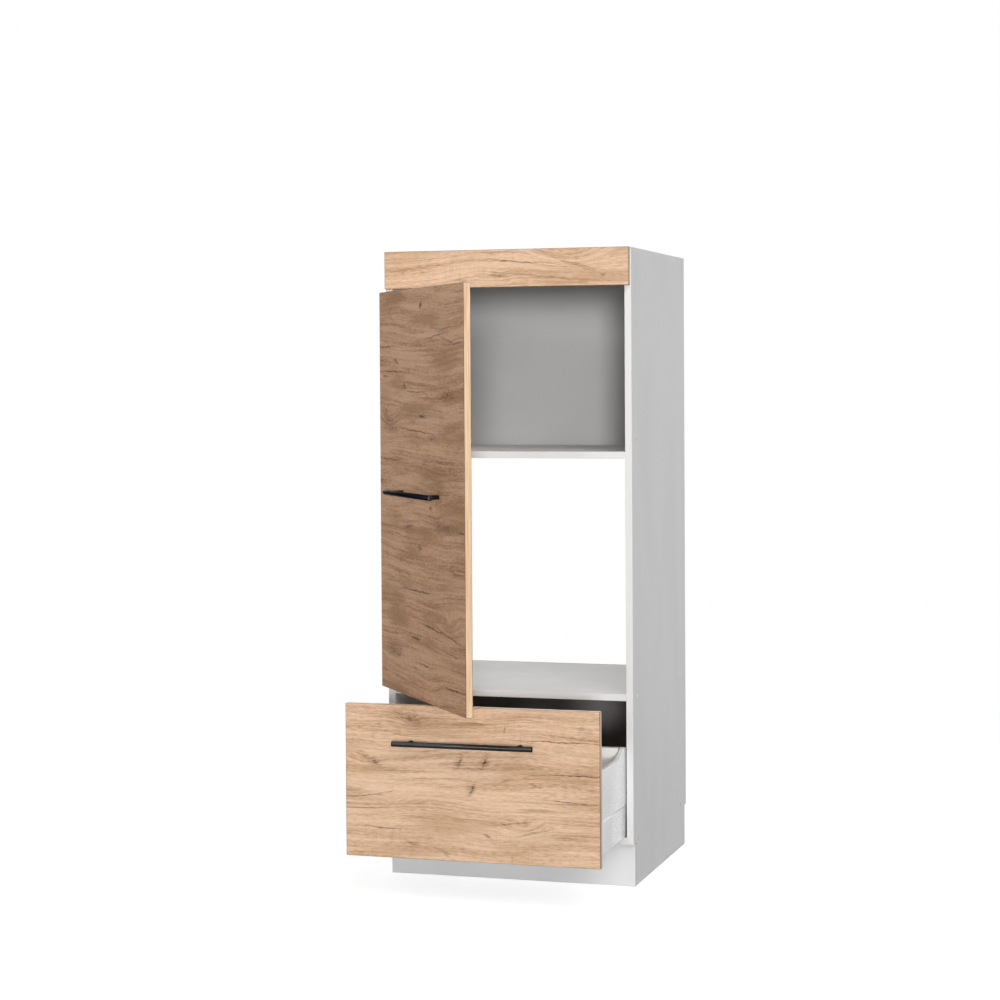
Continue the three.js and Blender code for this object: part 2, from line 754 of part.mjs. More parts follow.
function runnerMiddle(side) {
  const x = (inward) => across(side, inward);
  const web = sheet / 2;
  const outline = [
    [x(beamCentre - beamHalf), beamLow],
    [x(beamCentre - beamHalf), beamLow + sheet],
    [x(beamCentre - web), beamLow + sheet],
    [x(beamCentre - web), beamTop - sheet],
    [x(beamCentre - beamHalf), beamTop - sheet],
    [x(beamCentre - beamHalf), beamTop],
    [x(beamCentre + beamHalf), beamTop],
    [x(beamCentre + beamHalf), beamTop - sheet],
    [x(beamCentre + web), beamTop - sheet],
    [x(beamCentre + web), beamLow + sheet],
    [x(beamCentre + beamHalf), beamLow + sheet],
    [x(beamCentre + beamHalf), beamLow],
  ];
  return prism(outline, 'y', 2 * runnerSetback, drawerLength - runnerSetback);
}

function runnerSlide(side) {
  const x = (inward) => across(side, inward);
  const plate = beamTop + runnerSlip;
  const innerWall = profileInner - sheet;
  const guide = beamCentre + beamHalf + runnerSlip;
  const outline = [
    [x(railClearance + sheet + 0.4), plate + sheet],
    [x(innerWall - sheet), plate + sheet],
    [x(innerWall - sheet), plate + slideTabRise],
    [x(innerWall), plate + slideTabRise],
    [x(innerWall), plate - slideTabDrop],
    [x(innerWall - sheet), plate - slideTabDrop],
    [x(innerWall - sheet), plate],
    [x(guide + sheet), plate],
    [x(guide + sheet), plate - slideLipDrop],
    [x(guide), plate - slideLipDrop],
    [x(guide), plate],
    [x(railClearance + sheet + 0.4), plate],
  ];
  return prism(outline, 'y', runnerSetback, drawerLength - 2 * runnerSetback);
}

// ---------------------------------------------------------------- assembly

const cabinet = new THREE.Group();
cabinet.position.set(0, -(plinthSetback + plinthBoard / 2), 0);
const sides = Object.entries({ left: -1, right: 1 });
const hinges = Object.entries(hingeHeights);
const bothSides = (make) => [-1, 1].flatMap(make);

// carcass
addPiece(cabinet, 'bottom_panel', layer(baseHeight, screwHolesAt(carcassScrewRows[0])), whiteMelamine);
addPiece(cabinet, 'lower_shelf', layer(lowerShelfZ, screwHolesAt(carcassScrewRows[1])), whiteMelamine);
addPiece(cabinet, 'upper_shelf', layer(upperShelfZ, []), whiteMelamine);
addPiece(cabinet, 'top_panel', layer(topPanelZ, [
  ...screwHolesAt(carcassScrewRows[2]),
  ...bothSides((side) => bracketScrewHoles(side * bracketPlace)),
]), whiteMelamine);
addPiece(cabinet, 'back_panel_upper', backPanelBetween(upperShelfZ, cabinetHeight), whiteBack);
addPiece(cabinet, 'back_panel_drawer_bay', backPanelBetween(baseHeight, lowerShelfTop), charcoalBack);
const fascia = block([-frontWidth / 2, frontWidth / 2], [-frontBoard, 0], [fasciaBottom, cabinetHeight]);
addPiece(cabinet, 'fascia', cut(fascia, bothSides((side) => bracketScrewHoles(side * bracketPlace))), oakFront);
addPiece(cabinet, 'plinth',
  block([-cabinetWidth / 2, cabinetWidth / 2], [plinthSetback, plinthBack], [0, plinthTop]), whiteMelamine);
for (const [word, side] of sides) {
  addPiece(cabinet, `side_panel_${word}`, sidePanel(side), whiteMelamine);
  addPiece(cabinet, `fascia_bracket_${word}`, fasciaBracket(side * bracketPlace), zincSteel);
  addPiece(cabinet, `plinth_block_${word}`, plinthBlock(side), whitePlastic);
  addPiece(cabinet, `runner_rail_${word}`, runnerRail(side), zincSteel);
  addPiece(cabinet, `shelf_pin_${word}_front`, shelfPin(side, shelfPinPlaces[0]), zincSteel);
  addPiece(cabinet, `shelf_pin_${word}_rear`, shelfPin(side, shelfPinPlaces[1]), zincSteel);
}
for (const [word, z] of hinges) {
  addPiece(cabinet, `hinge_plate_${word}`, hingePlate(), nickelSteel, [0, 0, z]);
  addPiece(cabinet, `hinge_arm_${word}`, hingeArm(), nickelSteel, [0, 0, z]);
}

// A bar handle with its two screws, at a place on the outer face of a front.
function addHandle(parent, name, x, z) {
  addPiece(parent, name, barHandle(), blackMetal, [x, frontOuter, z]);
  for (const [word, side] of sides) {
    const place = [x + side * postSpacing / 2, frontOuter, z];
    addPiece(parent, `${name}_screw_${word}`, handleScrew(), zincSteel, place);
  }
}

// door: its pieces are written closed, inside a group that turns about the door's pivot line
const doorLeaf = new THREE.Group();
doorLeaf.position.set(doorPivot.x, doorPivot.y, 0);
doorLeaf.rotation.z = -doorTurn;
const closedDoor = new THREE.Group();
closedDoor.position.set(-doorPivot.x, -doorPivot.y, 0);
doorLeaf.add(closedDoor);
cabinet.add(doorLeaf);

const doorMiddle = (doorBottom + doorTop) / 2;
const doorBody = block([-frontWidth / 2, frontWidth / 2], [frontOuter, frontInner], [doorBottom, doorTop]);
addPiece(closedDoor, 'door_panel', cut(doorBody, [
  ...handleHoles(0, doorMiddle),
  ...Object.values(hingeHeights).flatMap(doorCupHoles),
]), oakFront);
addHandle(closedDoor, 'door_handle', 0, doorMiddle);
addPiece(closedDoor, 'door_bumper_lower', bumper(bumperX, doorBottom + bumperFromEnd), clearRubber);
addPiece(closedDoor, 'door_bumper_upper', bumper(bumperX, doorTop - bumperFromEnd), clearRubber);
for (const [word, z] of hinges) {
  addPiece(closedDoor, `hinge_cup_${word}`, hingeCup(), nickelSteel, [0, 0, z]);
}

// hinge links: the inner ones turn on the arm pins, the outer ones only travel with the knee
const innerLinks = new THREE.Group();
innerLinks.position.set(armPin.x, armPin.y, 0);
innerLinks.rotation.z = -doorTurn;
const closedLinks = new THREE.Group();
closedLinks.position.set(-armPin.x, -armPin.y, 0);
innerLinks.add(closedLinks);
const kneeTravel = linkVector.clone().rotateAround(new THREE.Vector2(), -doorTurn).sub(linkVector);
const outerLinks = new THREE.Group();
outerLinks.position.set(kneeTravel.x, kneeTravel.y, 0);
cabinet.add(innerLinks, outerLinks);
for (const [word, z] of hinges) {
  addPiece(closedLinks, `hinge_inner_link_${word}`, hingeInnerLink(), nickelSteel, [0, 0, z]);
  addPiece(outerLinks, `hinge_outer_link_${word}`, hingeOuterLink(), nickelSteel, [0, 0, z]);
}

// drawer: its pieces are written closed, inside a group that is pulled out
const drawer = new THREE.Group();
drawer.position.y = -drawerPull;
cabinet.add(drawer);

const drawerHandleZ = drawerFrontTop - drawerHandleDrop;
const frontBody = block(
  [-frontWidth / 2, frontWidth / 2],
  [frontOuter, frontInner],
  [drawerFrontBottom, drawerFrontTop],
);
addPiece(drawer, 'drawer_front', cut(frontBody, [
  ...handleHoles(drawerHandleShift, drawerHandleZ),
  ...bothSides(frontBracketHoles),
]), oakFront);
addHandle(drawer, 'drawer_handle', drawerHandleShift, drawerHandleZ);
addPiece(drawer, 'drawer_floor',
  block([-drawerHalf, drawerHalf], [frontInner, drawerRearEnd], [floorZ, backZ]), whiteMelamine);
const backBody = block([-drawerHalf, drawerHalf], [drawerRearEnd - board, drawerRearEnd], [backZ, drawerBackTop]);
addPiece(drawer, 'drawer_back', cut(backBody, bothSides(backBracketHoles)), whiteMelamine);

// middle runner members travel half as far as the drawer
const runnerMiddles = new THREE.Group();
runnerMiddles.position.y = -drawerPull / 2;
cabinet.add(runnerMiddles);
for (const [word, side] of sides) {
  addPiece(drawer, `drawer_side_${word}`, drawerSideProfile(side), whiteSteel);
  addPiece(drawer, `drawer_wall_${word}`, drawerWall(side), whiteSteel);
  addPiece(drawer, `drawer_back_bracket_${word}`, drawerBackBracket(side), whiteSteel);
  addPiece(drawer, `drawer_front_bracket_${word}`, drawerFrontBracket(side), zincSteel);
  addPiece(drawer, `drawer_bumper_${word}`, bumper(side * bumperX, drawerFrontTop - bumperFromEnd), clearRubber);
  addPiece(drawer, `runner_slide_${word}`, runnerSlide(side), zincSteel);
  addPiece(runnerMiddles, `runner_middle_${word}`, runnerMiddle(side), zincSteel);
}

export default cabinet;
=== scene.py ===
"""Dressed model of a tall kitchen cabinet: white carcass, light oak fronts, open door and drawer.

Lengths are in millimetres until a mesh is made. They are given for closed fronts, with the carcass
front edge at y = 0, and a Place then turns or shifts a sub-assembly to where it stands at rest.
"""

import sys
import logging
import math
from collections.abc import Iterable, Sequence
from dataclasses import dataclass, field
from enum import Enum
from functools import cache

import bmesh
import bpy
import numpy as np
from mathutils import Matrix, Vector


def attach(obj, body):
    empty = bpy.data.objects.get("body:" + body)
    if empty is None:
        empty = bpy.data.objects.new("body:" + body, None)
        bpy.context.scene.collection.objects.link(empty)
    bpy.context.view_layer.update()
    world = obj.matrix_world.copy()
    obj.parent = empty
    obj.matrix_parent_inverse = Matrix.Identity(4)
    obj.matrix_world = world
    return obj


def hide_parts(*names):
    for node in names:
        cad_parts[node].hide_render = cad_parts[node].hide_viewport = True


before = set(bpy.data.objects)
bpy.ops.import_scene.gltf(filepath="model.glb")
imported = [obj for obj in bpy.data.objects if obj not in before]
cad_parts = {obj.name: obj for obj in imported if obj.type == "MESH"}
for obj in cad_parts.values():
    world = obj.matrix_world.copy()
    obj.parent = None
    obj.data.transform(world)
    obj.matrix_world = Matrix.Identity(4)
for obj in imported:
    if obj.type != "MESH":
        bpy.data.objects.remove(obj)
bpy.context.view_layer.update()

log = logging.getLogger("cabinet")
Socket = bpy.types.NodeSocket

# Metres in a millimetre, and y of the carcass front edge in the row frame.
MM = 0.001
ORIGIN_Y = -23.0

# Carcass: outer sizes, board thickness, half of the inner width, underside of the bottom panel
# and tops of the two shelves.
WIDTH = 600.0
HEIGHT = 1486.0
BOARD = 16.0
HALF_BOARD = BOARD / 2
INNER = WIDTH / 2 - BOARD
BASE = 100.0
LOWER_SHELF = 450.0
UPPER_SHELF = 1013.0

# Fronts: y of their inner and outer faces, their heights, and how far they are open at rest.
FRONT_IN = -2.0
FRONT_OUT = FRONT_IN - BOARD
DOOR_LOW = 453.0
DOOR_HIGH = 1390.0
DRAWER_FRONT_HIGH = 450.0
DOOR_OPEN = math.radians(52.5)
DRAWER_PULL = 280.0

# Gap between a fitting and the board that it sits on, x of the bumpers, and how far the bumpers
# are from the ends of their front.
CLEAR = 0.3
BUMPER_X = 292.0
BUMPER_END = 30.0

# Mesh angles in degrees: boards and pressed parts are flat under the first, sharp over the second
# and eased over the third. Pieces made from a Form are sharp over the last.
FLAT_UNDER, SHARP_OVER, EASED_OVER, FORM_SHARP_OVER = 1.0, 35.0, 40.0, 50.0

# Least cosine of a normal that counts as lying along an axis, and the greatest between two faces
# that count as a corner.
ALONG, CORNER = 0.9, 0.7

PLAIN_WHITE = (1.0, 1.0, 1.0, 1.0)

# Depth of a mark in the oak print, in millimetres: far more than the board's.
UNBOUNDED = 1e4


# ------------------------------------------------------------------ places


@dataclass(frozen=True)
class Place:
    """Where a sub-assembly stands at rest: turned about an upright line, then shifted along y.

    Attributes:
        turn: angle about +z, in radians.
        pivot: x and y of the upright line.
        shift: distance along y.
    """

    turn: float = 0.0
    pivot: tuple[float, float] = (0.0, 0.0)
    shift: float = 0.0

    def world(self, points: np.ndarray) -> np.ndarray:
        """Moves points from the closed cabinet to the row frame.

        Args:
            points: array of x, y, z rows in millimetres.

        Returns:
            The rows in metres, turned about the pivot and shifted.
        """
        c, s = math.cos(self.turn), math.sin(self.turn)
        x, y = points[:, 0] - self.pivot[0], points[:, 1] - self.pivot[1]
        moved = np.stack((
            c * x - s * y + self.pivot[0],
            s * x + c * y + self.pivot[1] + self.shift + ORIGIN_Y,
            points[:, 2],
        ), axis=1)
        return moved * MM

    def back(self) -> tuple[float, float]:
        """The x and y that Mapping adds, after turning back, to reach closed millimetres."""
        c, s = math.cos(-self.turn), math.sin(-self.turn)
        x, y = self.pivot[0], self.pivot[1] + self.shift + ORIGIN_Y
        return self.pivot[0] - (c * x - s * y), self.pivot[1] - (s * x + c * y)


HINGE_LINE = (-WIDTH / 2 - 0.5, -1.0)
STANDING = Place()
DOOR_PLACE = Place(turn=-DOOR_OPEN, pivot=HINGE_LINE)
DRAWER_PLACE = Place(shift=-DRAWER_PULL)


# ------------------------------------------------------------------ node graphs


def linear(code: str, share: float = 1.0) -> tuple[float, float, float, float]:
    """Turns an sRGB hex colour to linear RGBA.

    Args:
        code: six hex digits after a hash.
        share: what red, green and blue are multiplied by.

    Returns:
        Linear red, green, blue and an alpha of 1.
    """
    srgb = np.array([int(code[i:i + 2], 16) for i in (1, 3, 5)]) / 255
    made = np.where(srgb <= 0.04045, srgb / 12.92, ((srgb + 0.055) / 1.055) ** 2.4)
    return (*map(float, made * share), 1.0)


class Kind(Enum):
    """Kinds of node that are used again and again: type, sockets in order, output and settings."""

    STEP = ("MapRange", ("Value", "From Min", "From Max", "To Min", "To Max"), 0,
            {"interpolation_type": "SMOOTHSTEP"})
    BLEND = ("Mix", (0, 6, 7), 2, {"data_type": "RGBA"})
    ADD = ("Math", (0, 1), 0, {"operation": "ADD"})
    SUBTRACT = ("Math", (0, 1), 0, {"operation": "SUBTRACT"})
    TIMES = ("Math", (0, 1), 0, {"operation": "MULTIPLY"})
    TIMES_PLUS = ("Math", (0, 1, 2), 0, {"operation": "MULTIPLY_ADD"})
    LARGER = ("Math", (0, 1), 0, {"operation": "MAXIMUM"})


class Graph:
    """The node tree of a material or of the world, while it is being wired."""

    def __init__(self, owner: bpy.types.Material | bpy.types.World) -> None:
        """Starts an empty tree.

        Args:
            owner: what the tree belongs to.
        """
        self.owner = owner
        owner.use_nodes = True
        self.tree = owner.node_tree
        self.tree.nodes.clear()

    def put(self, kind: Kind | str, links: dict | tuple = (), out: int | str = 0,
            **settings) -> Socket:
        """Adds a node with its settings and links.

        Args:
            kind: a Kind, or the node's type without its ShaderNode prefix.
            links: for a Kind the sockets or plain values in order, otherwise keyed by input.
            out: the output to hand back.
            **settings: node attributes, and stops as (place, hex) pairs for a colour ramp.

        Returns:
            The chosen output socket, or the node's own first input where it has no output.
        """
        if isinstance(kind, Kind):
            kind, order, out, fixed = kind.value
            links, settings = dict(zip(order, links)), {**fixed, **settings}
        node = self.tree.nodes.new("ShaderNode" + kind)
        for place, (at, code) in enumerate(settings.pop("stops", ())):
            ramp = node.color_ramp.elements
            stop = ramp[place] if place < 2 else ramp.new(at)
            stop.position, stop.color = at, linear(code)
        for name, value in settings.items():
            setattr(node, name, value)
        for key, value in dict(links).items():
            if isinstance(value, Socket):
                self.tree.links.new(value, node.inputs[key])
            else:
                node.inputs[key].default_value = value
        return node.outputs[out] if len(node.outputs) else node.inputs[0]

    def closed(self, place: Place = STANDING) -> Socket:
        """Object coordinates in millimetres of the closed cabinet.

        Args:
            place: where the piece stands at rest.

        Returns:
            The vector socket.
        """
        x, y = place.back()
        return self.put("Mapping", {
            "Vector": self.put("TexCoord", out="Object"),
            "Location": (x, y, 0.0),
            "Rotation": (0.0, 0.0, -place.turn),
            "Scale": (1000.0, 1000.0, 1000.0),
        })

    def lumps(self, vector: Socket, size: Sequence[float], seed: float = 0.0,
              detail: float = 2.0) -> Socket:
        """Cloudy noise whose lumps have given sizes along x, y and z.

        Args:
            vector: coordinates in millimetres.
            size: lump size on each axis, in millimetres.
            seed: moves the pattern.
            detail: octaves.

        Returns:
            The noise value, about 0.5 on average.
        """
        scaled = self.put("VectorMath", {
            0: vector, 1: tuple(1 / s for s in size), 2: (seed, seed * 1.7, seed * 2.3),
        }, operation="MULTIPLY_ADD")
        return self.put("TexNoise", {"Vector": scaled, "Scale": 1.0, "Detail": detail}, out="Fac")

    def tint(self, colour: Socket | tuple[float, ...], other: tuple[float, ...], value: Socket,
             low: float, high: float, share: float) -> Socket:
        """Blends a colour towards another one as a value goes from low to high.

        Args:
            colour: the colour so far, as a socket or as linear RGBA.
            other: the other colour, as linear RGBA.
            value: what decides.
            low: the value at which nothing is blended in.
            high: the value at which the whole share is.
            share: how much of the other colour is blended in at most.

        Returns:
            The blended colour.
        """
        amount = self.put(Kind.STEP, (value, low, high, 0.0, share))
        return self.put(Kind.BLEND, (amount, colour, other))

    def surface(self, colour: Socket, roughness: Socket, height: Socket, depth: float,
                **fixed: float | tuple[float, ...]) -> bpy.types.Material:
        """Ends the graph in a shader with bump.

        Args:
            colour: base colour.
            roughness: roughness.
            height: bump height from 0 to 1.
            depth: bump depth in millimetres.
            **fixed: other sockets of the shader, with underscores for spaces.

        Returns:
            The finished material.
        """
        bump = self.put("Bump", {"Height": height, "Strength": 1.0, "Distance": depth * MM})
        sockets = {"Base Color": colour, "Roughness": roughness, "Normal": bump}
        sockets.update({name.replace("_", " "): value for name, value in fixed.items()})
        shader = self.put("BsdfPrincipled", sockets)
        self.put("OutputMaterial", {"Surface": shader})
        return self.owner


# ------------------------------------------------------------------ finishes


@dataclass(frozen=True)
class Finish:
    """What a surface is made of.

    Attributes:
        name: the material's name.
    """

    name: str

    def graph(self) -> Graph:
        """An empty graph of a new material with this name."""
        return Graph(bpy.data.materials.new(self.name))

    def material(self) -> bpy.types.Material:
        """Makes the material. Each finish wires its own."""
        raise NotImplementedError


@dataclass(frozen=True)
class Mark:
    """A dark mark in the oak print: the heart of a knot, a smudge or a dry crack.

    Attributes:
        x: place along the front.
        z: height on the closed cabinet.
        long: half length, where the mark has faded by half.
        wide: half width, where it has faded by half.
        tilt: degrees that it climbs to the right.
        dark: how dark its middle is, from 0 to 1.
    """

    x: float
    z: float
    long: float
    wide: float
    tilt: float
    dark: float


@dataclass(frozen=True)
class Eye:
    """A place in the oak print where the grain flows round.

    Attributes:
        x: place along the front.
        z: height on the closed cabinet.
        spread: half length of the bent grain.
        lift: how far the grain is pushed up.
    """

    x: float
    z: float
    spread: float
    lift: float


@dataclass(frozen=True)
class OakDecor(Finish):
    """Melamine paper with a light oak print: straight flat grain, small knots and dry cracks.

    The paper is matt, with a shallow pressed pore. Its grain runs across the front. Fibres are
    2 mm high and 15 mm long, lines 4.5 mm high and growth bands 15 mm high. The cracks are 2 to
    4 mm high and up to 240 mm long.

    Attributes:
        place: where the front stands at rest.
        seed: moves the random part of the print.
        marks: knots and cracks on this front.
        eyes: bends of the grain.
        tone: what the print is multiplied by, in linear red, green and blue. Below 1 it is painted
            shade.
        bold: strength of marks and shaded patches.
    """

    place: Place
    seed: float
    marks: tuple[Mark, ...] = ()
    eyes: tuple[Eye, ...] = ()
    tone: tuple[float, float, float] = (1.0, 1.0, 1.0)
    bold: float = 1.15

    def material(self) -> bpy.types.Material:
        """Wires the print."""
        g = self.graph()
        at = g.closed(self.place)
        flow = self.grain(g, at)
        bands = g.lumps(flow, (520.0, 60.0, 15.0), self.seed + 1, 2.0)
        lines = g.lumps(flow, (200.0, 30.0, 4.5), self.seed + 2, 3.0)
        fibre = g.lumps(flow, (15.0, 8.0, 2.0), self.seed + 3, 3.0)
        mixed = g.put(Kind.TIMES_PLUS, (bands, 0.28, g.put(Kind.TIMES, (lines, 0.34))))
        mixed = g.put(Kind.TIMES_PLUS, (fibre, 0.38, mixed))
        strong = math.sqrt(self.bold)
        mixed = g.put(Kind.TIMES_PLUS, (mixed, strong, 0.5 - 0.5 * strong))
        colour = g.put("ValToRGB", {0: mixed}, stops=(
            (0.32, "#a27a5c"), (0.68, "#f2d4b6"), (0.42, "#c8a384"), (0.50, "#dcb899"),
            (0.57, "#e6c4a5")))
        patch = g.lumps(at, (230.0, 90.0, 40.0), self.seed + 4, 4.0)
        colour = g.tint(colour, linear("#ab865f"), patch, 0.46, 0.72, 0.42 * self.bold)
        colour = g.tint(colour, linear("#ebcaa9"), patch, 0.50, 0.30, 0.35)
        sawn = g.lumps(at, (3.0, 9.0, 46.0), self.seed + 5, 1.0)
        some = g.put(Kind.STEP, (g.lumps(at, (90.0, 90.0, 46.0), self.seed + 6, 1.0), 0.52, 0.68))
        sawn = g.put(Kind.TIMES, (g.put(Kind.STEP, (sawn, 0.50, 0.72)), some))
        colour = g.put(Kind.BLEND, (g.put(Kind.TIMES, (sawn, 0.20)), colour, linear("#a98768")))
        vein = self.veins(g, flow, at)
        colour = g.put(Kind.BLEND, (g.put(Kind.TIMES, (vein, 0.42)), colour, linear("#8e6c4e")))
        drawn = self.drawn(g, at, fibre)
        colour = g.put(Kind.BLEND, (drawn, colour, linear("#553a24")))
        # The tone darkens the whole print: on the door it is painted shade.
        colour = g.put("VectorMath", {0: colour, 1: self.tone}, operation="MULTIPLY")
        rough = g.put(Kind.STEP, (mixed, 0.35, 0.65, 0.66, 0.54))
        relief = g.put(Kind.SUBTRACT, (mixed, drawn))
        return g.surface(colour, rough, relief, 0.10, IOR=1.46, Specular_IOR_Level=0.22)

    def grain(self, g: Graph, at: Socket) -> Socket:
        """Coordinates whose height follows the grain, over slow waves and round the eyes.

        Args:
            g: the graph.
            at: straight coordinates.

        Returns:
            The bent coordinates.
        """
        axes = g.put("SeparateXYZ", {0: at}).node.outputs
        wave = g.lumps(at, (420.0, 90.0, 150.0), self.seed, 1.0)
        ripple = g.lumps(at, (110.0, 90.0, 40.0), self.seed + 9, 2.0)
        height = g.put(Kind.TIMES_PLUS, (wave, 60.0, axes[2]))
        height = g.put(Kind.TIMES_PLUS, (ripple, 9.0, height))
        for eye in self.eyes:
            scaled = g.put("Mapping", {
                "Vector": at, "Location": (eye.x, 0.0, eye.z),
                "Scale": (eye.spread, UNBOUNDED, eye.spread * 0.45),
            }, vector_type="TEXTURE")
            reach = g.put("VectorMath", {0: scaled}, out="Value", operation="LENGTH")
            height = g.put(Kind.ADD, (height, g.put(Kind.STEP, (reach, 0.0, 1.0, eye.lift, 0.0))))
        return g.put("CombineXYZ", {0: axes[0], 1: axes[1], 2: height})

    def veins(self, g: Graph, flow: Socket, at: Socket) -> Socket:
        """Thin tapering lines along the grain, where noise crosses its middle value.

        Args:
            g: the graph.
            flow: coordinates bent by the grain.
            at: straight coordinates.

        Returns:
            1 on a line and 0 beside it.
        """
        value = g.lumps(flow, (300.0, 60.0, 26.0), self.seed + 10, 1.0)
        off = g.put("Math", {0: g.put(Kind.SUBTRACT, (value, 0.5))}, operation="ABSOLUTE")
        patch = g.lumps(at, (150.0, 90.0, 30.0), self.seed + 11, 2.0)
        where = g.put(Kind.STEP, (patch, 0.50, 0.64))
        return g.put(Kind.TIMES, (g.put(Kind.STEP, (off, 0.0, 0.022, 1.0, 0.0)), where))

    def drawn(self, g: Graph, at: Socket, fibre: Socket) -> Socket:
        """The marks: soft ellipses on coordinates that wander a little, broken up by the fibre.

        Args:
            g: the graph.
            at: straight coordinates.
            fibre: the fibre noise.

        Returns:
            How dark the print is, from 0 to 1.
        """
        if not self.marks:
            return g.put(Kind.ADD, (0.0, 0.0))
        drift = g.lumps(at, (46.0, 60.0, 46.0), self.seed + 12, 3.0)
        level = g.put(Kind.TIMES_PLUS, (drift, 12.0, -6.0))
        loose = g.put("VectorMath", {0: at, 1: g.put("CombineXYZ", {2: level})}, operation="ADD")
        total: Socket | float = 0.0
        for mark in self.marks:
            scaled = g.put("Mapping", {
                "Vector": loose, "Location": (mark.x, 0.0, mark.z),
                "Rotation": (0.0, -math.radians(mark.tilt), 0.0),
                "Scale": (mark.long, UNBOUNDED, mark.wide),
            }, vector_type="TEXTURE")
            reach = g.put("VectorMath", {0: scaled}, out="Value", operation="LENGTH")
            shade = g.put(Kind.STEP, (reach, 0.0, 2.0, mark.dark * self.bold, 0.0))
            total = g.put(Kind.LARGER, (total, shade))
        broken = g.put(Kind.STEP, (fibre, 0.36, 0.58, 1.40, 0.60))
        return g.put(Kind.TIMES, (total, broken), use_clamp=True)


@dataclass(frozen=True)
class OakEdging(Finish):
    """ABS edge strip, 1 mm thick, with a plain oak print that runs along the strip.

    Attributes:
        place: where the front stands at rest.
    """

    place: Place

    def material(self) -> bpy.types.Material:
        """Wires straight lines along the strip and a faint satin."""
        g = self.graph()
        at = g.closed(self.place)
        lines = g.lumps(at, (90.0, 2.4, 90.0), 3.0, 3.0)
        slow = g.lumps(at, (240.0, 30.0, 240.0), 5.0, 1.0)
        colour = g.put("ValToRGB", {0: lines}, stops=(
            (0.30, "#d0aa86"), (0.70, "#f4d6b6"), (0.5, "#e6c3a0")))
        colour = g.tint(colour, linear("#dcb692"), slow, 0.40, 0.70, 0.35)
        rough = g.put(Kind.STEP, (lines, 0.3, 0.7, 0.50, 0.42))
        return g.surface(colour, rough, lines, 0.05, IOR=1.49, Specular_IOR_Level=0.3)


@dataclass(frozen=True)
class Melamine(Finish):
    """White melamine-faced chipboard, pressed with a fine pearl texture.

    The pearl is about 0.4 mm in life. It is drawn 1.4 mm wide, so that it shows.

    Attributes:
        colour: sRGB hex.
        pearl: lump size of the texture.
        rough: mean roughness.
        gloss: strength of the mirror part, where 0.5 is common plastic.
    """

    name: str = "white_melamine"
    colour: str = "#ededed"
    pearl: float = 1.4
    rough: float = 0.52
    gloss: float = 0.22

    def material(self) -> bpy.types.Material:
        """Wires the pearl and the faint clouds of the paper."""
        g = self.graph()
        at = g.closed()
        pearl = g.lumps(at, (self.pearl,) * 3, 1.0, 2.0)
        cloud = g.lumps(at, (140.0, 140.0, 420.0), 2.0, 3.0)
        shade = linear(self.colour, 0.94)
        colour = g.tint(linear(self.colour), shade, cloud, 0.42, 0.66, 0.55)
        colour = g.tint(colour, shade, pearl, 0.55, 0.75, 0.25)
        rough = g.put(Kind.STEP, (pearl, 0.3, 0.7, self.rough - 0.05, self.rough + 0.07))
        return g.surface(colour, rough, pearl, 0.03, IOR=1.5, Specular_IOR_Level=self.gloss)


@dataclass(frozen=True)
class Chipboard(Finish):
    """Sawn chipboard without edging: wood chips pressed with glue, darker in the pits as painted
    shade.
    """

    name: str = "raw_chipboard"

    def material(self) -> bpy.types.Material:
        """Wires chips about 2.4 mm across in four browns, with pits between them and fine dust."""
        g = self.graph()
        at = g.closed()
        bent = g.put("VectorMath", {0: at, 1: (0.42, 0.42, 0.42)}, operation="MULTIPLY")
        chips = g.put("TexVoronoi", {"Vector": bent, "Scale": 1.0, "Randomness": 1.0}, out="Color")
        tone = g.put("SeparateXYZ", {0: chips})
        colour = g.put("ValToRGB", {0: tone}, stops=(
            (0.0, "#8d6b45"), (1.0, "#d3b68c"), (0.35, "#b18c60"), (0.7, "#c3a274")))
        gap = g.put("TexVoronoi", {"Vector": bent, "Scale": 1.0}, out="Distance",
                    feature="DISTANCE_TO_EDGE")
        # The pits between chips are darkened: painted shade in the recesses.
        colour = g.tint(colour, linear("#5f452a"), gap, 0.09, 0.0, 0.75)
        dust = g.lumps(at, (0.9, 0.9, 0.9), 4.0, 2.0)
        colour = g.tint(colour, linear("#dcc49d"), dust, 0.5, 0.7, 0.35)
        rough = g.put(Kind.STEP, (dust, 0.3, 0.7, 0.82, 0.94))
        return g.surface(colour, rough, g.put(Kind.STEP, (gap, 0.0, 0.12)), 0.25, IOR=1.45)


@dataclass(frozen=True)
class Hardboard(Finish):
    """Thin high-density fibreboard: felted brown fibre, or a lacquered face over it.

    Attributes:
        colour: sRGB hex of the face.
        fibre: sRGB hex of the fibres that show in it.
        rough: least roughness.
    """

    colour: str
    fibre: str
    rough: float

    def material(self) -> bpy.types.Material:
        """Wires fibres 5 mm long in two directions and slow clouds."""
        g = self.graph()
        at = g.closed()
        lying = g.lumps(at, (5.0, 5.0, 1.1), 1.0, 2.0)
        upright = g.lumps(at, (1.1, 5.0, 5.0), 7.0, 2.0)
        felt = g.put(Kind.TIMES, (lying, upright))
        cloud = g.lumps(at, (160.0, 160.0, 160.0), 3.0, 3.0)
        colour = g.tint(linear(self.colour), linear(self.fibre), felt, 0.27, 0.42, 0.55)
        colour = g.tint(colour, linear(self.fibre), cloud, 0.42, 0.70, 0.30)
        rough = g.put(Kind.STEP, (felt, 0.15, 0.35, self.rough, self.rough + 0.1))
        return g.surface(colour, rough, felt, 0.05, IOR=1.47, Specular_IOR_Level=0.3)


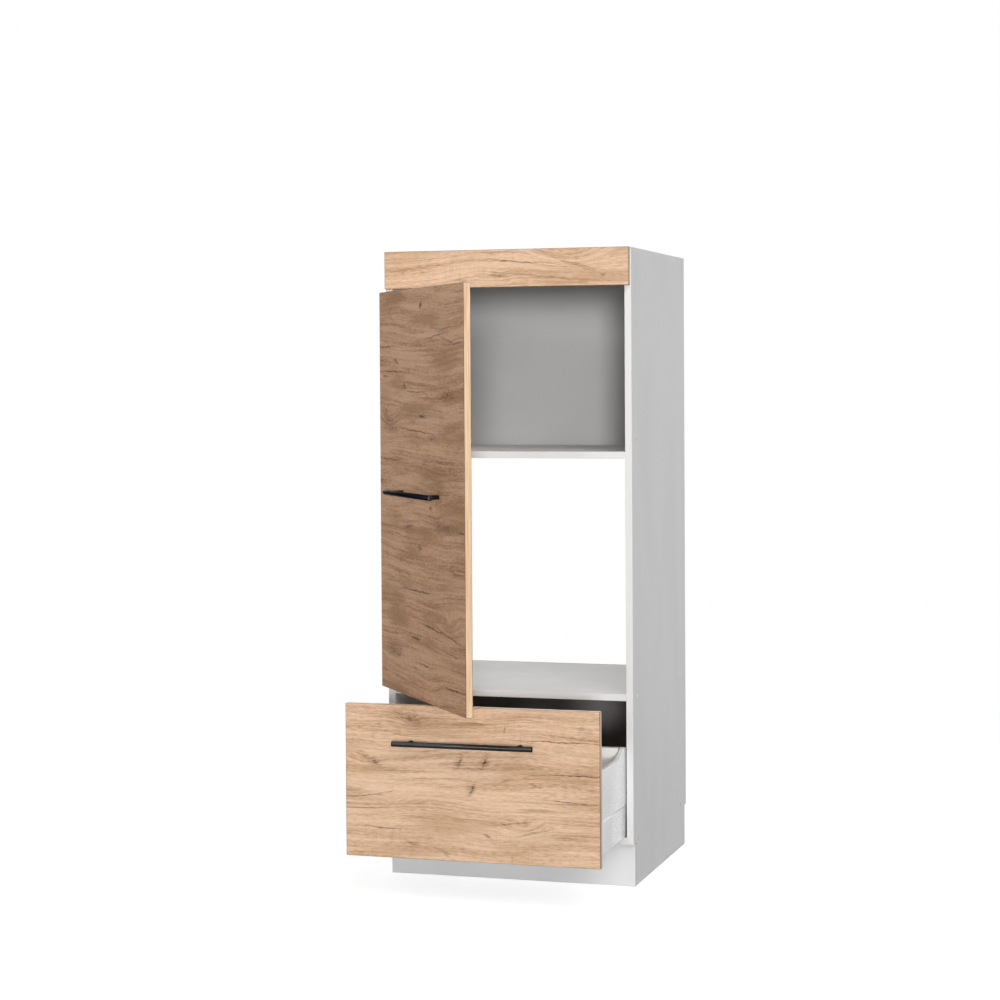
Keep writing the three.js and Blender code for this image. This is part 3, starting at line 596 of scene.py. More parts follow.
@dataclass(frozen=True)
class CoatedSteel(Finish):
    """Steel sheet with baked white powder coat, whose orange peel is about 2 mm across.

    Attributes:
        colour: sRGB hex.
        rough: least roughness.
    """

    name: str = "powder_coated_steel"
    colour: str = "#f8f8f8"
    rough: float = 0.22

    def material(self) -> bpy.types.Material:
        """Wires the orange peel."""
        g = self.graph()
        at = g.closed()
        peel = g.lumps(at, (2.1, 2.1, 2.1), 1.0, 1.0)
        cloud = g.lumps(at, (90.0, 160.0, 60.0), 2.0, 2.0)
        shade = linear(self.colour, 0.97)
        colour = g.tint(linear(self.colour), shade, cloud, 0.40, 0.70, 0.6)
        rough = g.put(Kind.STEP, (peel, 0.3, 0.7, self.rough, self.rough + 0.08))
        return g.surface(colour, rough, peel, 0.004, IOR=1.5, Sheen_Weight=0.60)


class Plating(Enum):
    """Bright finishes on steel: colour, darker colour, least and most roughness."""

    ZINC = ("#b9bec3", "#8f969d", 0.30, 0.46)
    NICKEL = ("#cfccc5", "#a8a49b", 0.16, 0.30)


@dataclass(frozen=True)
class PlatedSteel(Finish):
    """Steel with a thin zinc or nickel skin, drawn or rolled along y.

    Zinc clouds are 12 mm across, and draw lines are about 0.3 mm wide, drawn 0.8 mm to show.

    Attributes:
        plating: which skin.
        lines: sizes of the draw lines on x, y and z.
    """

    plating: Plating
    lines: tuple[float, float, float] = (0.8, 60.0, 0.8)

    def material(self) -> bpy.types.Material:
        """Wires clouds and draw lines."""
        g = self.graph()
        at = g.closed()
        bright, dull, low, high = self.plating.value
        drawn = g.lumps(at, self.lines, 1.0, 2.0)
        cloud = g.lumps(at, (12.0, 12.0, 12.0), 2.0, 3.0)
        colour = g.tint(linear(bright), linear(dull), cloud, 0.38, 0.66, 0.7)
        colour = g.tint(colour, linear(dull), drawn, 0.5, 0.75, 0.25)
        rough = g.put(Kind.STEP, (cloud, 0.3, 0.7, low, high))
        return g.surface(colour, rough, drawn, 0.012, Metallic=1.0)


@dataclass(frozen=True)
class BlackNickel(Finish):
    """Black nickel plating on a ground steel bar, polished a little by hands.

    The ground lines run along the bar, about 0.5 mm wide. The plating stays dark at a slant.

    Attributes:
        colour: sRGB hex.
    """

    colour: str = "#46474a"

    def material(self) -> bpy.types.Material:
        """Wires ground lines and hand polish."""
        g = self.graph()
        at = g.closed()
        ground = g.lumps(at, (60.0, 0.5, 0.5), 1.0, 1.0)
        worn = g.lumps(at, (70.0, 70.0, 70.0), 2.0, 2.0)
        colour = g.tint(linear(self.colour), linear("#56575a"), worn, 0.40, 0.70, 0.6)
        rough = g.put(Kind.STEP, (worn, 0.35, 0.65, 0.28, 0.20))
        return g.surface(colour, rough, ground, 0.004, Metallic=1.0,
                         Specular_Tint=(0.25, 0.25, 0.25, 1.0))


@dataclass(frozen=True)
class Moulded(Finish):
    """Injection-moulded plastic or rubber with a fine spark-eroded grain, also the dark line of
    painted shade on the oak fronts' eased corners.

    Attributes:
        colour: sRGB hex.
        rough: least roughness.
        ior: refraction of the plastic.
    """

    colour: str
    rough: float
    ior: float = 1.5

    def material(self) -> bpy.types.Material:
        """Wires the mould grain, about 0.5 mm across, and faint clouds."""
        g = self.graph()
        at = g.closed()
        grain = g.lumps(at, (0.5, 0.5, 0.5), 1.0, 2.0)
        cloud = g.lumps(at, (9.0, 9.0, 9.0), 2.0, 2.0)
        colour = g.tint(linear(self.colour), linear(self.colour, 0.90), cloud, 0.35, 0.75, 0.6)
        rough = g.put(Kind.STEP, (grain, 0.3, 0.7, self.rough, self.rough + 0.1))
        return g.surface(colour, rough, grain, 0.02, IOR=self.ior)


@cache
def painted(finish: Finish) -> bpy.types.Material:
    """The material of a finish, made once and handed out again.

    Args:
        finish: the finish.

    Returns:
        Its material.
    """
    return finish.material()


def rows_of(kind: type, *rows: tuple[float, ...]) -> tuple:
    """Turns rows of numbers to marks or eyes of a print.

    Args:
        kind: Mark or Eye.
        *rows: the numbers of each, in the order of its attributes.

    Returns:
        The marks or eyes.
    """
    return tuple(kind(*row) for row in rows)


WHITE = Melamine()
SHELF_WHITE = Melamine("shelf_melamine", "#e6e6e6", 1.4, 0.55, 0.16)
# The carcass melamine a touch darker on the plinth: painted shade.
PLINTH_SHADED_WHITE = Melamine("plinth_melamine", "#e7e7e7")
# A touch darker than the faces: painted shade on the front edges, which face the lamps.
WHITE_EDGE = Melamine("white_abs_edging", "#e6e6e6", 0.9, 0.38)
RAW = Chipboard()
BROWN_BACK = Hardboard("brown_hardboard", "#93714c", "#6d5034", 0.72)
# Dark brown on the eased corners of the oak fronts: a painted shade line along their edges.
SHADE_LINE = Moulded("brown_glue_seam", "#5e4230", 0.5)
# Light grey inner face of the upper back: partly the panel's own colour, partly painted shade
# inside the niche.
WHITE_BACK = Hardboard("pale_lacquered_hardboard", "#bbbbbb", "#adadad", 0.46)
# Dark grey inner face of the drawer bay's back: painted shade deep behind the drawer.
SHADED_BAY_BACK = Hardboard("charcoal_lacquered_hardboard", "#878382", "#767271", 0.46)
COAT = CoatedSteel()
ZINC = PlatedSteel("zinc_plated_steel", Plating.ZINC)
NICKEL = PlatedSteel("nickel_plated_steel", Plating.NICKEL)
BLACK_BAR = BlackNickel("black_nickel_bar")
WHITE_PLASTIC = Moulded("white_glossy_plastic", "#fafaf8", 0.10)
RUBBER = Moulded("cloudy_bumper_rubber", "#d3d6d5", 0.30, 1.42)

# Prints of the fronts. The marks and eyes of the outer faces lie where the photograph shows its
# larger knots and cracks. Those of the inner faces are made up.
FASCIA_OAK = OakDecor("oak_fascia", STANDING, 31.0, rows_of(
    Mark,
    (30, 1456.5, 74, 1.5, -4.5, 0.60), (-19, 1425, 20, 2.6, -3, 0.70),
    (105, 1420, 120, 1.8, -6, 0.25), (160, 1450, 48, 1.4, -20, 0.40),
    (176, 1448, 40, 1.6, -19, 0.35), (-252, 1434, 4, 2.6, 0, 0.45), (192, 1408, 16, 3, 0, 0.25),
    (237, 1424, 6, 2.5, 0, 0.35)
), rows_of(
    Eye,
    (150, 1476, 130, 34), (-20, 1424, 60, 8)
))
# The door's print is darker and warmer than the other fronts' by its tone: painted shade on the
# open door.
DOOR_OAK = OakDecor("oak_door", DOOR_PLACE, 7.0, rows_of(
    Mark,
    (9, 1351, 9, 5, 25, 0.60), (-238, 1260.5, 54, 1.4, 0, 0.65), (112, 1279, 55, 1.5, 6, 0.55),
    (190, 1268, 40, 2, -12, 0.45), (240, 1259, 50, 1.7, 3, 0.45),
    (-173, 1227, 14, 3.4, -12, 0.45), (-218, 1202, 75, 1.4, -1, 0.65),
    (-254, 1191, 17, 2.4, 0, 0.50), (-112, 1168, 7, 6, 0, 0.55), (-48, 1154, 50, 1.4, -1, 0.55),
    (186, 1146, 46, 13, -8, 0.28), (165, 1148, 16, 5, 30, 0.35), (14, 1101, 17, 3, -4, 0.65),
    (-215, 1078, 50, 14, -14, 0.28), (-35, 1066, 110, 1.5, -3, 0.55), (90, 1050, 32, 6, 3, 0.30),
    (-230, 996, 62, 1.3, -1, 0.50), (-98, 976, 14, 2.6, 0, 0.45), (71, 895, 8, 4, 0, 0.55),
    (-85, 846, 22, 3, 8, 0.55), (175, 856, 70, 9, 0, 0.25), (278, 849, 18, 1.4, 3, 0.65),
    (-7, 801, 12, 4, -6, 0.50), (208, 762, 18, 2, 0, 0.45), (-40, 701, 100, 1.5, 0.5, 0.65),
    (70, 625, 70, 1.6, -3, 0.65), (212, 614, 42, 1.8, -8, 0.55), (-42, 593, 26, 2.6, -3, 0.60),
    (208, 579, 45, 1.4, -4, 0.45), (-198, 549, 42, 13, 0, 0.28), (20, 537, 48, 1.4, 0, 0.50),
    (225, 504, 66, 1.5, 0, 0.70)
), rows_of(
    Eye,
    (190, 1270, 60, 12), (190, 640, 110, 14), (190, 862, 80, -12), (-215, 1085, 90, 18)
), (0.89, 0.77, 0.69), 1.7)
DOOR_OAK_INNER = OakDecor("oak_door_inner", DOOR_PLACE, 57.0, rows_of(
    Mark,
    (100, 1200, 16, 5, 60, 0.60), (-120, 1010, 90, 1.5, -1, 0.60), (40, 760, 60, 1.4, 2, 0.55),
    (-60, 560, 14, 4, -20, 0.55)
), rows_of(
    Eye,
    (120, 900, 120, 30), (-90, 640, 90, -24)
))
DRAWER_OAK = OakDecor("oak_drawer_front", DRAWER_PLACE, 19.0, rows_of(
    Mark,
    (-152, 423, 26, 8, -22, 0.38), (-128, 421, 13, 3.2, -48, 0.50),
    (-243, 328, 27, 6, -33, 0.36), (-228, 319, 8, 4.5, -20, 0.62), (-26, 324, 12, 3.4, 68, 0.70),
    (31, 325, 13, 3.6, 62, 0.75), (3, 268, 13, 3.2, 65, 0.70), (262, 407, 12, 4.6, -15, 0.32),
    (152, 281, 12, 2.6, -12, 0.38), (-140, 138, 11, 3.2, -15, 0.45), (79, 400, 5, 1.6, 80, 0.55),
    (215, 379.5, 78, 1.3, -1, 0.75), (228, 306, 64, 1.3, 0.5, 0.78),
    (233, 246, 52, 1.2, -3, 0.62), (-212, 171.5, 50, 1.3, -2, 0.62),
    (-262, 241, 44, 1.3, 4, 0.60), (-205, 250, 22, 1.4, 16, 0.42), (-270, 214, 40, 1.1, 3, 0.42),
    (-98, 349.5, 14, 1.1, 2, 0.45), (12, 413, 24, 1.2, 0, 0.55), (98, 194, 36, 1.4, 8, 0.62),
    (150, 176, 40, 1.7, 12, 0.42), (38, 164, 9, 2.6, -20, 0.40), (220, 167, 20, 4, 0, 0.26),
    (-28, 324, 13, 8, 60, 0.30), (29, 325, 14, 8.5, 50, 0.34), (1, 268, 15, 8.5, 60, 0.32),
    (-226, 318, 14, 9, -30, 0.30), (262, 405, 15, 8, -10, 0.24), (-134, 420, 22, 14, -30, 0.26)
), rows_of(
    Eye,
    (125, 182, 70, 22), (-140, 410, 60, 10), (-245, 318, 60, 10)
))
DRAWER_OAK_INNER = OakDecor("oak_drawer_front_inner", DRAWER_PLACE, 71.0, rows_of(
    Mark,
    (-120, 380, 12, 4, 50, 0.60), (150, 250, 70, 1.4, 0, 0.60)
), rows_of(
    Eye,
    (60, 300, 110, 24)
))


# ------------------------------------------------------------------ meshes


@dataclass
class Form:
    """A surface in millimetres of the closed cabinet.

    Attributes:
        points: rows of x, y, z.
        faces: corner numbers of each face.
        flat: True for each face that keeps its own plane's shading.
    """

    points: np.ndarray
    faces: list[tuple[int, ...]]
    flat: list[bool] = field(default_factory=list)

    def moved(self, axes: np.ndarray, at: Sequence[float]) -> "Form":
        """A copy laid on other axes.

        Args:
            axes: the rows that local x, y and z become.
            at: where the local origin goes.

        Returns:
            The moved form.
        """
        return Form(self.points @ axes + np.array(at, float), self.faces, self.flat)

    def aimed(self, direction: Sequence[float], at: Sequence[float]) -> "Form":
        """A copy whose local z points along a direction.

        Args:
            direction: the new local z.
            at: where the local origin goes.

        Returns:
            The aimed form.
        """
        z = np.array(direction, float) / np.linalg.norm(direction)
        helper = np.array((0.0, 0.0, 1.0)) if abs(z[2]) < 0.9 else np.array((1.0, 0.0, 0.0))
        x = np.cross(helper, z)
        x /= np.linalg.norm(x)
        return self.moved(np.stack((x, np.cross(z, x), z)), at)


def gathered(forms: Iterable[Form]) -> Form:
    """Puts several forms into one, as separate shells.

    Args:
        forms: what is put together.

    Returns:
        One form.
    """
    forms = list(forms)
    starts = np.cumsum([0] + [len(f.points) for f in forms])
    faces = [tuple(c + int(start) for c in face)
             for f, start in zip(forms, starts) for face in f.faces]
    flat = [value for f in forms for value in (f.flat or [False] * len(f.faces))]
    return Form(np.concatenate([f.points for f in forms]), faces, flat)


def polar(radii: np.ndarray, heights: np.ndarray) -> Form:
    """A closed surface round local z.

    At row i and angle a it lies at radius r(i, a) and height h(i, a). The rows run from the lower
    pole, up the outside, to the upper pole. The first and last rows have radius 0 and become one
    point each.

    Args:
        radii: rows by angles.
        heights: rows by angles.

    Returns:
        The surface, facing outwards.
    """
    rows, columns = radii.shape
    angles = np.linspace(0, 2 * math.pi, columns, endpoint=False)
    body = np.stack((radii * np.cos(angles), radii * np.sin(angles), heights), axis=2)[1:-1]
    points = np.concatenate((body.reshape(-1, 3), [[0, 0, heights[0, 0]], [0, 0, heights[-1, 0]]]))
    index = np.arange((rows - 2) * columns).reshape(rows - 2, columns)
    ahead = np.roll(index, -1, axis=1)
    quads = np.stack((index[:-1], ahead[:-1], ahead[1:], index[1:]), axis=2).reshape(-1, 4)
    low, high = len(points) - 2, len(points) - 1
    faces = [tuple(q) for q in quads.tolist()]
    faces += [(low, b, a) for a, b in zip(index[0].tolist(), ahead[0].tolist())]
    faces += [(a, b, high) for a, b in zip(index[-1].tolist(), ahead[-1].tolist())]
    return Form(points, faces)


def turned(profile: Sequence[tuple[float, float]], columns: int = 48) -> Form:
    """A solid of revolution round local z, from a profile of radius and height.

    Args:
        profile: from the lower pole, up the outside, to the upper pole.
        columns: faces round it.

    Returns:
        The surface.
    """
    rows = np.array(profile, float)
    ones = np.ones((1, columns))
    return polar(rows[:, :1] * ones, rows[:, 1:] * ones)


def softened(outline: Sequence[tuple[float, float]], radius: float, steps: int = 4) -> np.ndarray:
    """Rounds the corners of a closed outline.

    At a corner with half angle h, the arc touches both edges at radius / tan(h) from the corner.
    Its points are blended from the edge points by the quadratic weights of a parabola through
    them, which lies about 0.1 mm from the arc at the one radius used, 1.6 mm.

    Args:
        outline: corners in order.
        radius: the corner radius, less where an edge is too short.
        steps: points on each corner.

    Returns:
        The new outline.
    """
    here = np.array(outline, float)
    before, after = np.roll(here, 1, axis=0) - here, np.roll(here, -1, axis=0) - here
    long_before = np.linalg.norm(before, axis=1, keepdims=True)
    long_after = np.linalg.norm(after, axis=1, keepdims=True)
    before, after = before / long_before, after / long_after
    half = 0.5 * np.arccos(np.clip((before * after).sum(1, keepdims=True), -0.9999, 0.9999))
    back = np.minimum(radius / np.tan(half), 0.45 * np.minimum(long_before, long_after))
    first, last = here + before * back, here + after * back
    t = np.linspace(0, 1, steps)[None, :, None]
    arcs = (1 - t) ** 2 * first[:, None] + 2 * t * (1 - t) * here[:, None] + t ** 2 * last[:, None]
    return arcs.reshape(-1, 2)


def slab(outline: np.ndarray, axis: str, low: float, high: float, ease: float,
         steps: int) -> Form:
    """A prism whose rims are eased by a quarter round.

    Ring k of a rim lies at height e (1 - cos a) from the face and is drawn in by e (1 - sin a),
    with a from 0 to 90 degrees. Drawing in moves each corner along its mitre.

    Args:
        outline: corners on the two other axes in alphabetical order, in either sense of rotation.
        axis: x, y or z, the axis that the prism stands along.
        low: lower end.
        high: upper end.
        ease: radius of the rims.
        steps: faces on each rim.

    Returns:
        The surface, facing outwards.
    """
    flat = np.array(outline, float)
    ahead = np.roll(flat, -1, axis=0)
    if np.sum(flat[:, 0] * ahead[:, 1] - ahead[:, 0] * flat[:, 1]) < 0:
        flat = flat[::-1]
        ahead = np.roll(flat, -1, axis=0)
    edge = ahead - flat
    edge /= np.linalg.norm(edge, axis=1, keepdims=True)
    inward = np.stack((-edge[:, 1], edge[:, 0]), axis=1)
    other = np.roll(inward, 1, axis=0)
    mitre = (inward + other) / (1 + (inward * other).sum(1, keepdims=True))
    a = np.linspace(0, math.pi / 2, steps + 1)
    drawn = np.concatenate((ease * (1 - np.sin(a)), ease * (1 - np.sin(a))[::-1]))
    level = np.concatenate((low + ease * (1 - np.cos(a)), (high - ease * (1 - np.cos(a)))[::-1]))
    rings = flat[None] + drawn[:, None, None] * mitre[None]
    tall = np.broadcast_to(level[:, None], rings.shape[:2])
    order = {"x": (2, 0, 1), "y": (0, 2, 1), "z": (0, 1, 2)}[axis]
    points = np.stack((rings[..., 0], rings[..., 1], tall), axis=2)[..., order].reshape(-1, 3)
    count = len(flat)
    index = np.arange(len(level) * count).reshape(len(level), count)
    step = np.roll(index, -1, axis=1)
    quads = np.stack((index[:-1], step[:-1], step[1:], index[1:]), axis=2).reshape(-1, 4).tolist()
    faces = [tuple(q) for q in quads] + [tuple(index[0][::-1].tolist()), tuple(index[-1].tolist())]
    middle = range(steps * count, (steps + 1) * count)
    is_flat = [i in middle for i in range(len(quads))] + [True, True]
    if axis == "y":
        faces = [face[::-1] for face in faces]
    return Form(points, faces, is_flat)


def placed(name: str, data: bpy.types.ID) -> bpy.types.Object:
    """Adds an object to the scene.

    Args:
        name: its name.
        data: its mesh, lamp or camera.

    Returns:
        The new object.
    """
    new = bpy.data.objects.new(name, data)
    bpy.context.scene.collection.objects.link(new)
    return new


def show(name: str, form: Form, place: Place, finish: Finish, body: str,
         nodes: Sequence[str] = ()) -> None:
    """Makes a piece of the model from a form.

    Args:
        name: the piece's name.
        form: its surface.
        place: where it stands at rest.
        finish: its finish.
        body: the body that it rides on.
        nodes: frame nodes that it stands for.
    """
    mesh = bpy.data.meshes.new(name)
    mesh.from_pydata(place.world(form.points).tolist(), [], form.faces)
    flat = np.array(form.flat or [False] * len(form.faces))
    mesh.polygons.foreach_set("use_smooth", ~flat)
    mesh.set_sharp_from_angle(angle=math.radians(FORM_SHARP_OVER))
    mesh.materials.append(painted(finish))
    settle(placed(name, mesh), body, nodes)


def settle(piece: bpy.types.Object, body: str, nodes: Sequence[str]) -> None:
    """Tells the frame what a piece rides on and stands for.

    Args:
        piece: the piece.
        body: its body.
        nodes: frame nodes that it stands for.
    """
    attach(piece, body)
    if nodes:
        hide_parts(*nodes)
    log.info("%s rides on %s, %d faces", piece.name, body, len(piece.data.polygons))


class Side(Enum):
    """The two sides of the cabinet, seen from the front."""

    LEFT = -1
    RIGHT = 1

    @property
    def word(self) -> str:
        """The side's name in a node."""
        return self.name.lower()

    def inside(self, inward: float) -> float:
        """A place beside this side panel.

        Args:
            inward: distance from the panel's inner face towards the middle.

        Returns:
            Its x.
        """
        return self.value * (INNER - inward)


def refined(node: str, suffix: str, ease: float, body: str) -> bpy.types.Object:
    """A merged copy of a frame node with eased edges, which stands for the node.

    Args:
        node: the frame node.
        suffix: added to the name.
        ease: width of the eased edges in millimetres.
        body: the body that it rides on.

    Returns:
        The new object, without materials.
    """
    same_point = 0.02 * MM
    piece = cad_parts[node].copy()
    piece.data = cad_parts[node].data.copy()
    piece.name = piece.data.name = node + suffix
    piece.data.materials.clear()
    bpy.context.scene.collection.objects.link(piece)
    work = bmesh.new()
    work.from_mesh(piece.data)
    bmesh.ops.remove_doubles(work, verts=work.verts, dist=same_point)
    bmesh.ops.dissolve_limit(work, angle_limit=math.radians(FLAT_UNDER), verts=work.verts,
                             edges=work.edges)
    work.to_mesh(piece.data)
    work.free()
    piece.data.polygons.foreach_set("use_smooth", np.ones(len(piece.data.polygons), bool))
    piece.data.set_sharp_from_angle(angle=math.radians(SHARP_OVER))
    bevel = piece.modifiers.new("eased_edges", "BEVEL")
    bevel.width, bevel.segments, bevel.limit_method = ease * MM, 2, "ANGLE"
    bevel.angle_limit, bevel.harden_normals = math.radians(EASED_OVER), True
    settle(piece, body, [node])
    return piece


@dataclass(frozen=True)
class BoardDress:
    """What covers a board: its two faces, its banded edges and its sawn edges.

    Attributes:
        low: finish of the face towards lower coordinates.
        high: finish of the face towards higher coordinates.
        edge: finish of the banded edges.
        raw: directions of the edges that are left sawn, such as +y.
        seam: finish of the eased corners, a dark line of painted shade, or None where they look
            like their neighbours.
    """

    low: Finish
    high: Finish
    edge: Finish
    raw: tuple[str, ...] = ()
    seam: Finish | None = None


def values_of(items: bpy.types.bpy_prop_collection, name: str, width: int) -> np.ndarray:
    """Reads one attribute of many corners or faces at once.

    Args:
        items: a mesh's vertices or polygons.
        name: the attribute.
        width: numbers in each.

    Returns:
        One row for each.
    """
    values = np.empty(len(items) * width)
    items.foreach_get(name, values)
    return values.reshape(-1, width)


def board(node: str, axis: str, dress: BoardDress, body: str, place: Place = STANDING,
          ease: float = 0.8) -> None:
    """A board made from its frame node: faces, edging and sawn edges get their own finishes.

    A face of the mesh belongs to a board face where its normal lies along the board's thickness,
    and to an edge where it lies on the rim of the board's box. The rest are walls of drilled
    holes, which show raw chipboard.

    Args:
        node: the frame node.
        axis: the thickness axis on the closed cabinet.
        dress: the finishes.
        body: the body that it rides on.
        place: where it stands at rest.
        ease: width of the eased edges.
    """
    edge_slot, raw_slot, seam_slot = 2, 3, 4
    largest_hole_wall, on_rim = 100 * MM ** 2, 0.5 * MM
    piece = refined(node, "_board", ease, body)
    mesh = piece.data
    for finish in (dress.low, dress.high, dress.edge, RAW):
        mesh.materials.append(painted(finish))
    # The eased corners get the dark painted shade line where the dress has one.
    if dress.seam:
        mesh.materials.append(painted(dress.seam))
        piece.modifiers["eased_edges"].material = seam_slot
    c, s = math.cos(-place.turn), math.sin(-place.turn)
    back = np.array(((c, s, 0.0), (-s, c, 0.0), (0.0, 0.0, 1.0)))
    normals = values_of(mesh.polygons, "normal", 3) @ back
    centres = values_of(mesh.polygons, "center", 3) @ back
    points = values_of(mesh.vertices, "co", 3) @ back
    lows, highs = points.min(0), points.max(0)
    thick = "xyz".index(axis)
    index = np.full(len(normals), raw_slot)
    for sign, face_slot in ((-1, 0), (1, 1)):
        index[normals[:, thick] * sign > ALONG] = face_slot
    outer = values_of(mesh.polygons, "area", 1)[:, 0] > largest_hole_wall
    for way in range(3):
        for sign, rim in ((-1, lows), (1, highs)):
            there = (normals[:, way] * sign > ALONG) & (np.abs(centres[:, way] - rim[way]) < on_rim)
            outer |= there
            if way != thick:
                word = ("-" if sign < 0 else "+") + "xyz"[way]
                index[there] = raw_slot if word in dress.raw else edge_slot
    mesh.polygons.foreach_set("material_index", index.astype(np.int32))
    ease_outer_edges(piece, outer, normals)


def ease_outer_edges(piece: bpy.types.Object, outer: np.ndarray, normals: np.ndarray) -> None:
    """Limits the bevel to the edges between a board's own faces, so that drilled holes stay sharp.

    Args:
        piece: the board.
        outer: True for each face that is no wall of a hole.
        normals: the faces' normals.
    """
    mesh = piece.data
    beside: dict[tuple[int, int], list[int]] = {}
    for face in mesh.polygons:
        for key in face.edge_keys:
            beside.setdefault(key, []).append(face.index)
    weights = []
    for edge in mesh.edges:
        pair = beside.get(edge.key, [])
        corner = (len(pair) == 2 and outer[pair].all()
                  and normals[pair[0]] @ normals[pair[1]] < CORNER)
        weights.append(float(corner))
    mesh.attributes.new("bevel_weight_edge", "FLOAT", "EDGE").data.foreach_set("value", weights)
    mesh.polygons.foreach_set("use_smooth", ~outer)
    piece.modifiers["eased_edges"].limit_method = "WEIGHT"


def pressed(node: str, finish: Finish, body: str, ease: float = 0.25) -> None:
    """A pressed, rolled or moulded part made from its frame node.

    Args:
        node: the frame node.
        finish: its finish.
        body: the body that it rides on.
        ease: width of the eased edges.
    """
    piece = refined(node, "_part", ease, body)
    piece.data.materials.append(painted(finish))


# ------------------------------------------------------------------ screws, caps and pins


@dataclass(frozen=True)
class PanScrew:
    """A pan-head screw with a cross recess. Local z points out of the head.

    Attributes:
        head: radius of the head.
        tall: height of the head.
        shank: radius of the shank.
        length: length under the head.
    """

    head: float = 3.5
    tall: float = 1.7
    shank: float = 1.6
    length: float = 11.0

    def form(self) -> Form:
        """Head, recess and shank as one surface.

        At share s of its radius the head is t sqrt(1 - s^2 / 1.15) high. The recess lowers it by
        0.75 t in the hub, where s is under 0.2. From there to 0.56 it has four arms, and at angle
        a it lowers the head by 0.75 t (1 - |sin 2a| / 0.45), or not at all where that is negative.

        Returns:
            The surface.
        """
        columns, rings, rim, point, blunt = 48, 14, 0.15, 3.0, 0.4
        flatness, hub, reach, arm, recess = 1.15, 0.2, 0.56, 0.45, self.tall * 0.75
        angles = np.linspace(0, 2 * math.pi, columns, endpoint=False)
        ones = np.ones(columns)
        rows = [(0.0, -self.length), (self.shank * 0.3, -self.length + blunt),
                (self.shank, -self.length + point), (self.shank, 0.0), (self.head - rim, 0.0),
                (self.head, rim)]
        radii = [r * ones for r, _ in rows]
        heights = [h * ones for _, h in rows]
        arms = np.clip(1 - np.abs(np.sin(2 * angles)) / arm, 0, 1)
        for share in np.linspace(0.97, 0.0, rings):
            dome = self.tall * math.sqrt(1 - share ** 2 / flatness)
            deep = recess * np.where(share < hub, 1.0, arms) * (share < reach)
            radii.append(self.head * share * ones)
            heights.append(dome - deep)
        return polar(np.array(radii), np.array(heights))


@dataclass(frozen=True)
class CoverPlug:
    """A press-in plastic plug that closes a drilled hole. Local z points out of the board.

    Attributes:
        radius: radius of the plug.
        deep: how far it goes in.
        dome: height of its rounded head.
        proud: how far the head stands over the board, or under 0 for below it.
    """

    radius: float
    deep: float = 4.0
    dome: float = 0.1
    proud: float = -0.02

    def form(self) -> Form:
        """A ribbed stem under a head with a rounded rim.

        Returns:
            The surface.
        """
        steps, rib, collar, rounding = 6, 0.25, 0.3, 0.08
        r, low = self.radius, self.proud - self.dome
        stem = [(r - rib * (i % 2), -self.deep + (self.deep + low - collar) * i / steps)
                for i in range(steps + 1)]
        head = [(r * (1 - rounding + rounding * math.cos(a)), low + self.dome * math.sin(a))
                for a in np.linspace(0, math.pi / 2, 6)]
        return turned([(0, -self.deep), *stem, *head, (0, self.proud)], 40)


# ------------------------------------------------------------------ sub-assemblies


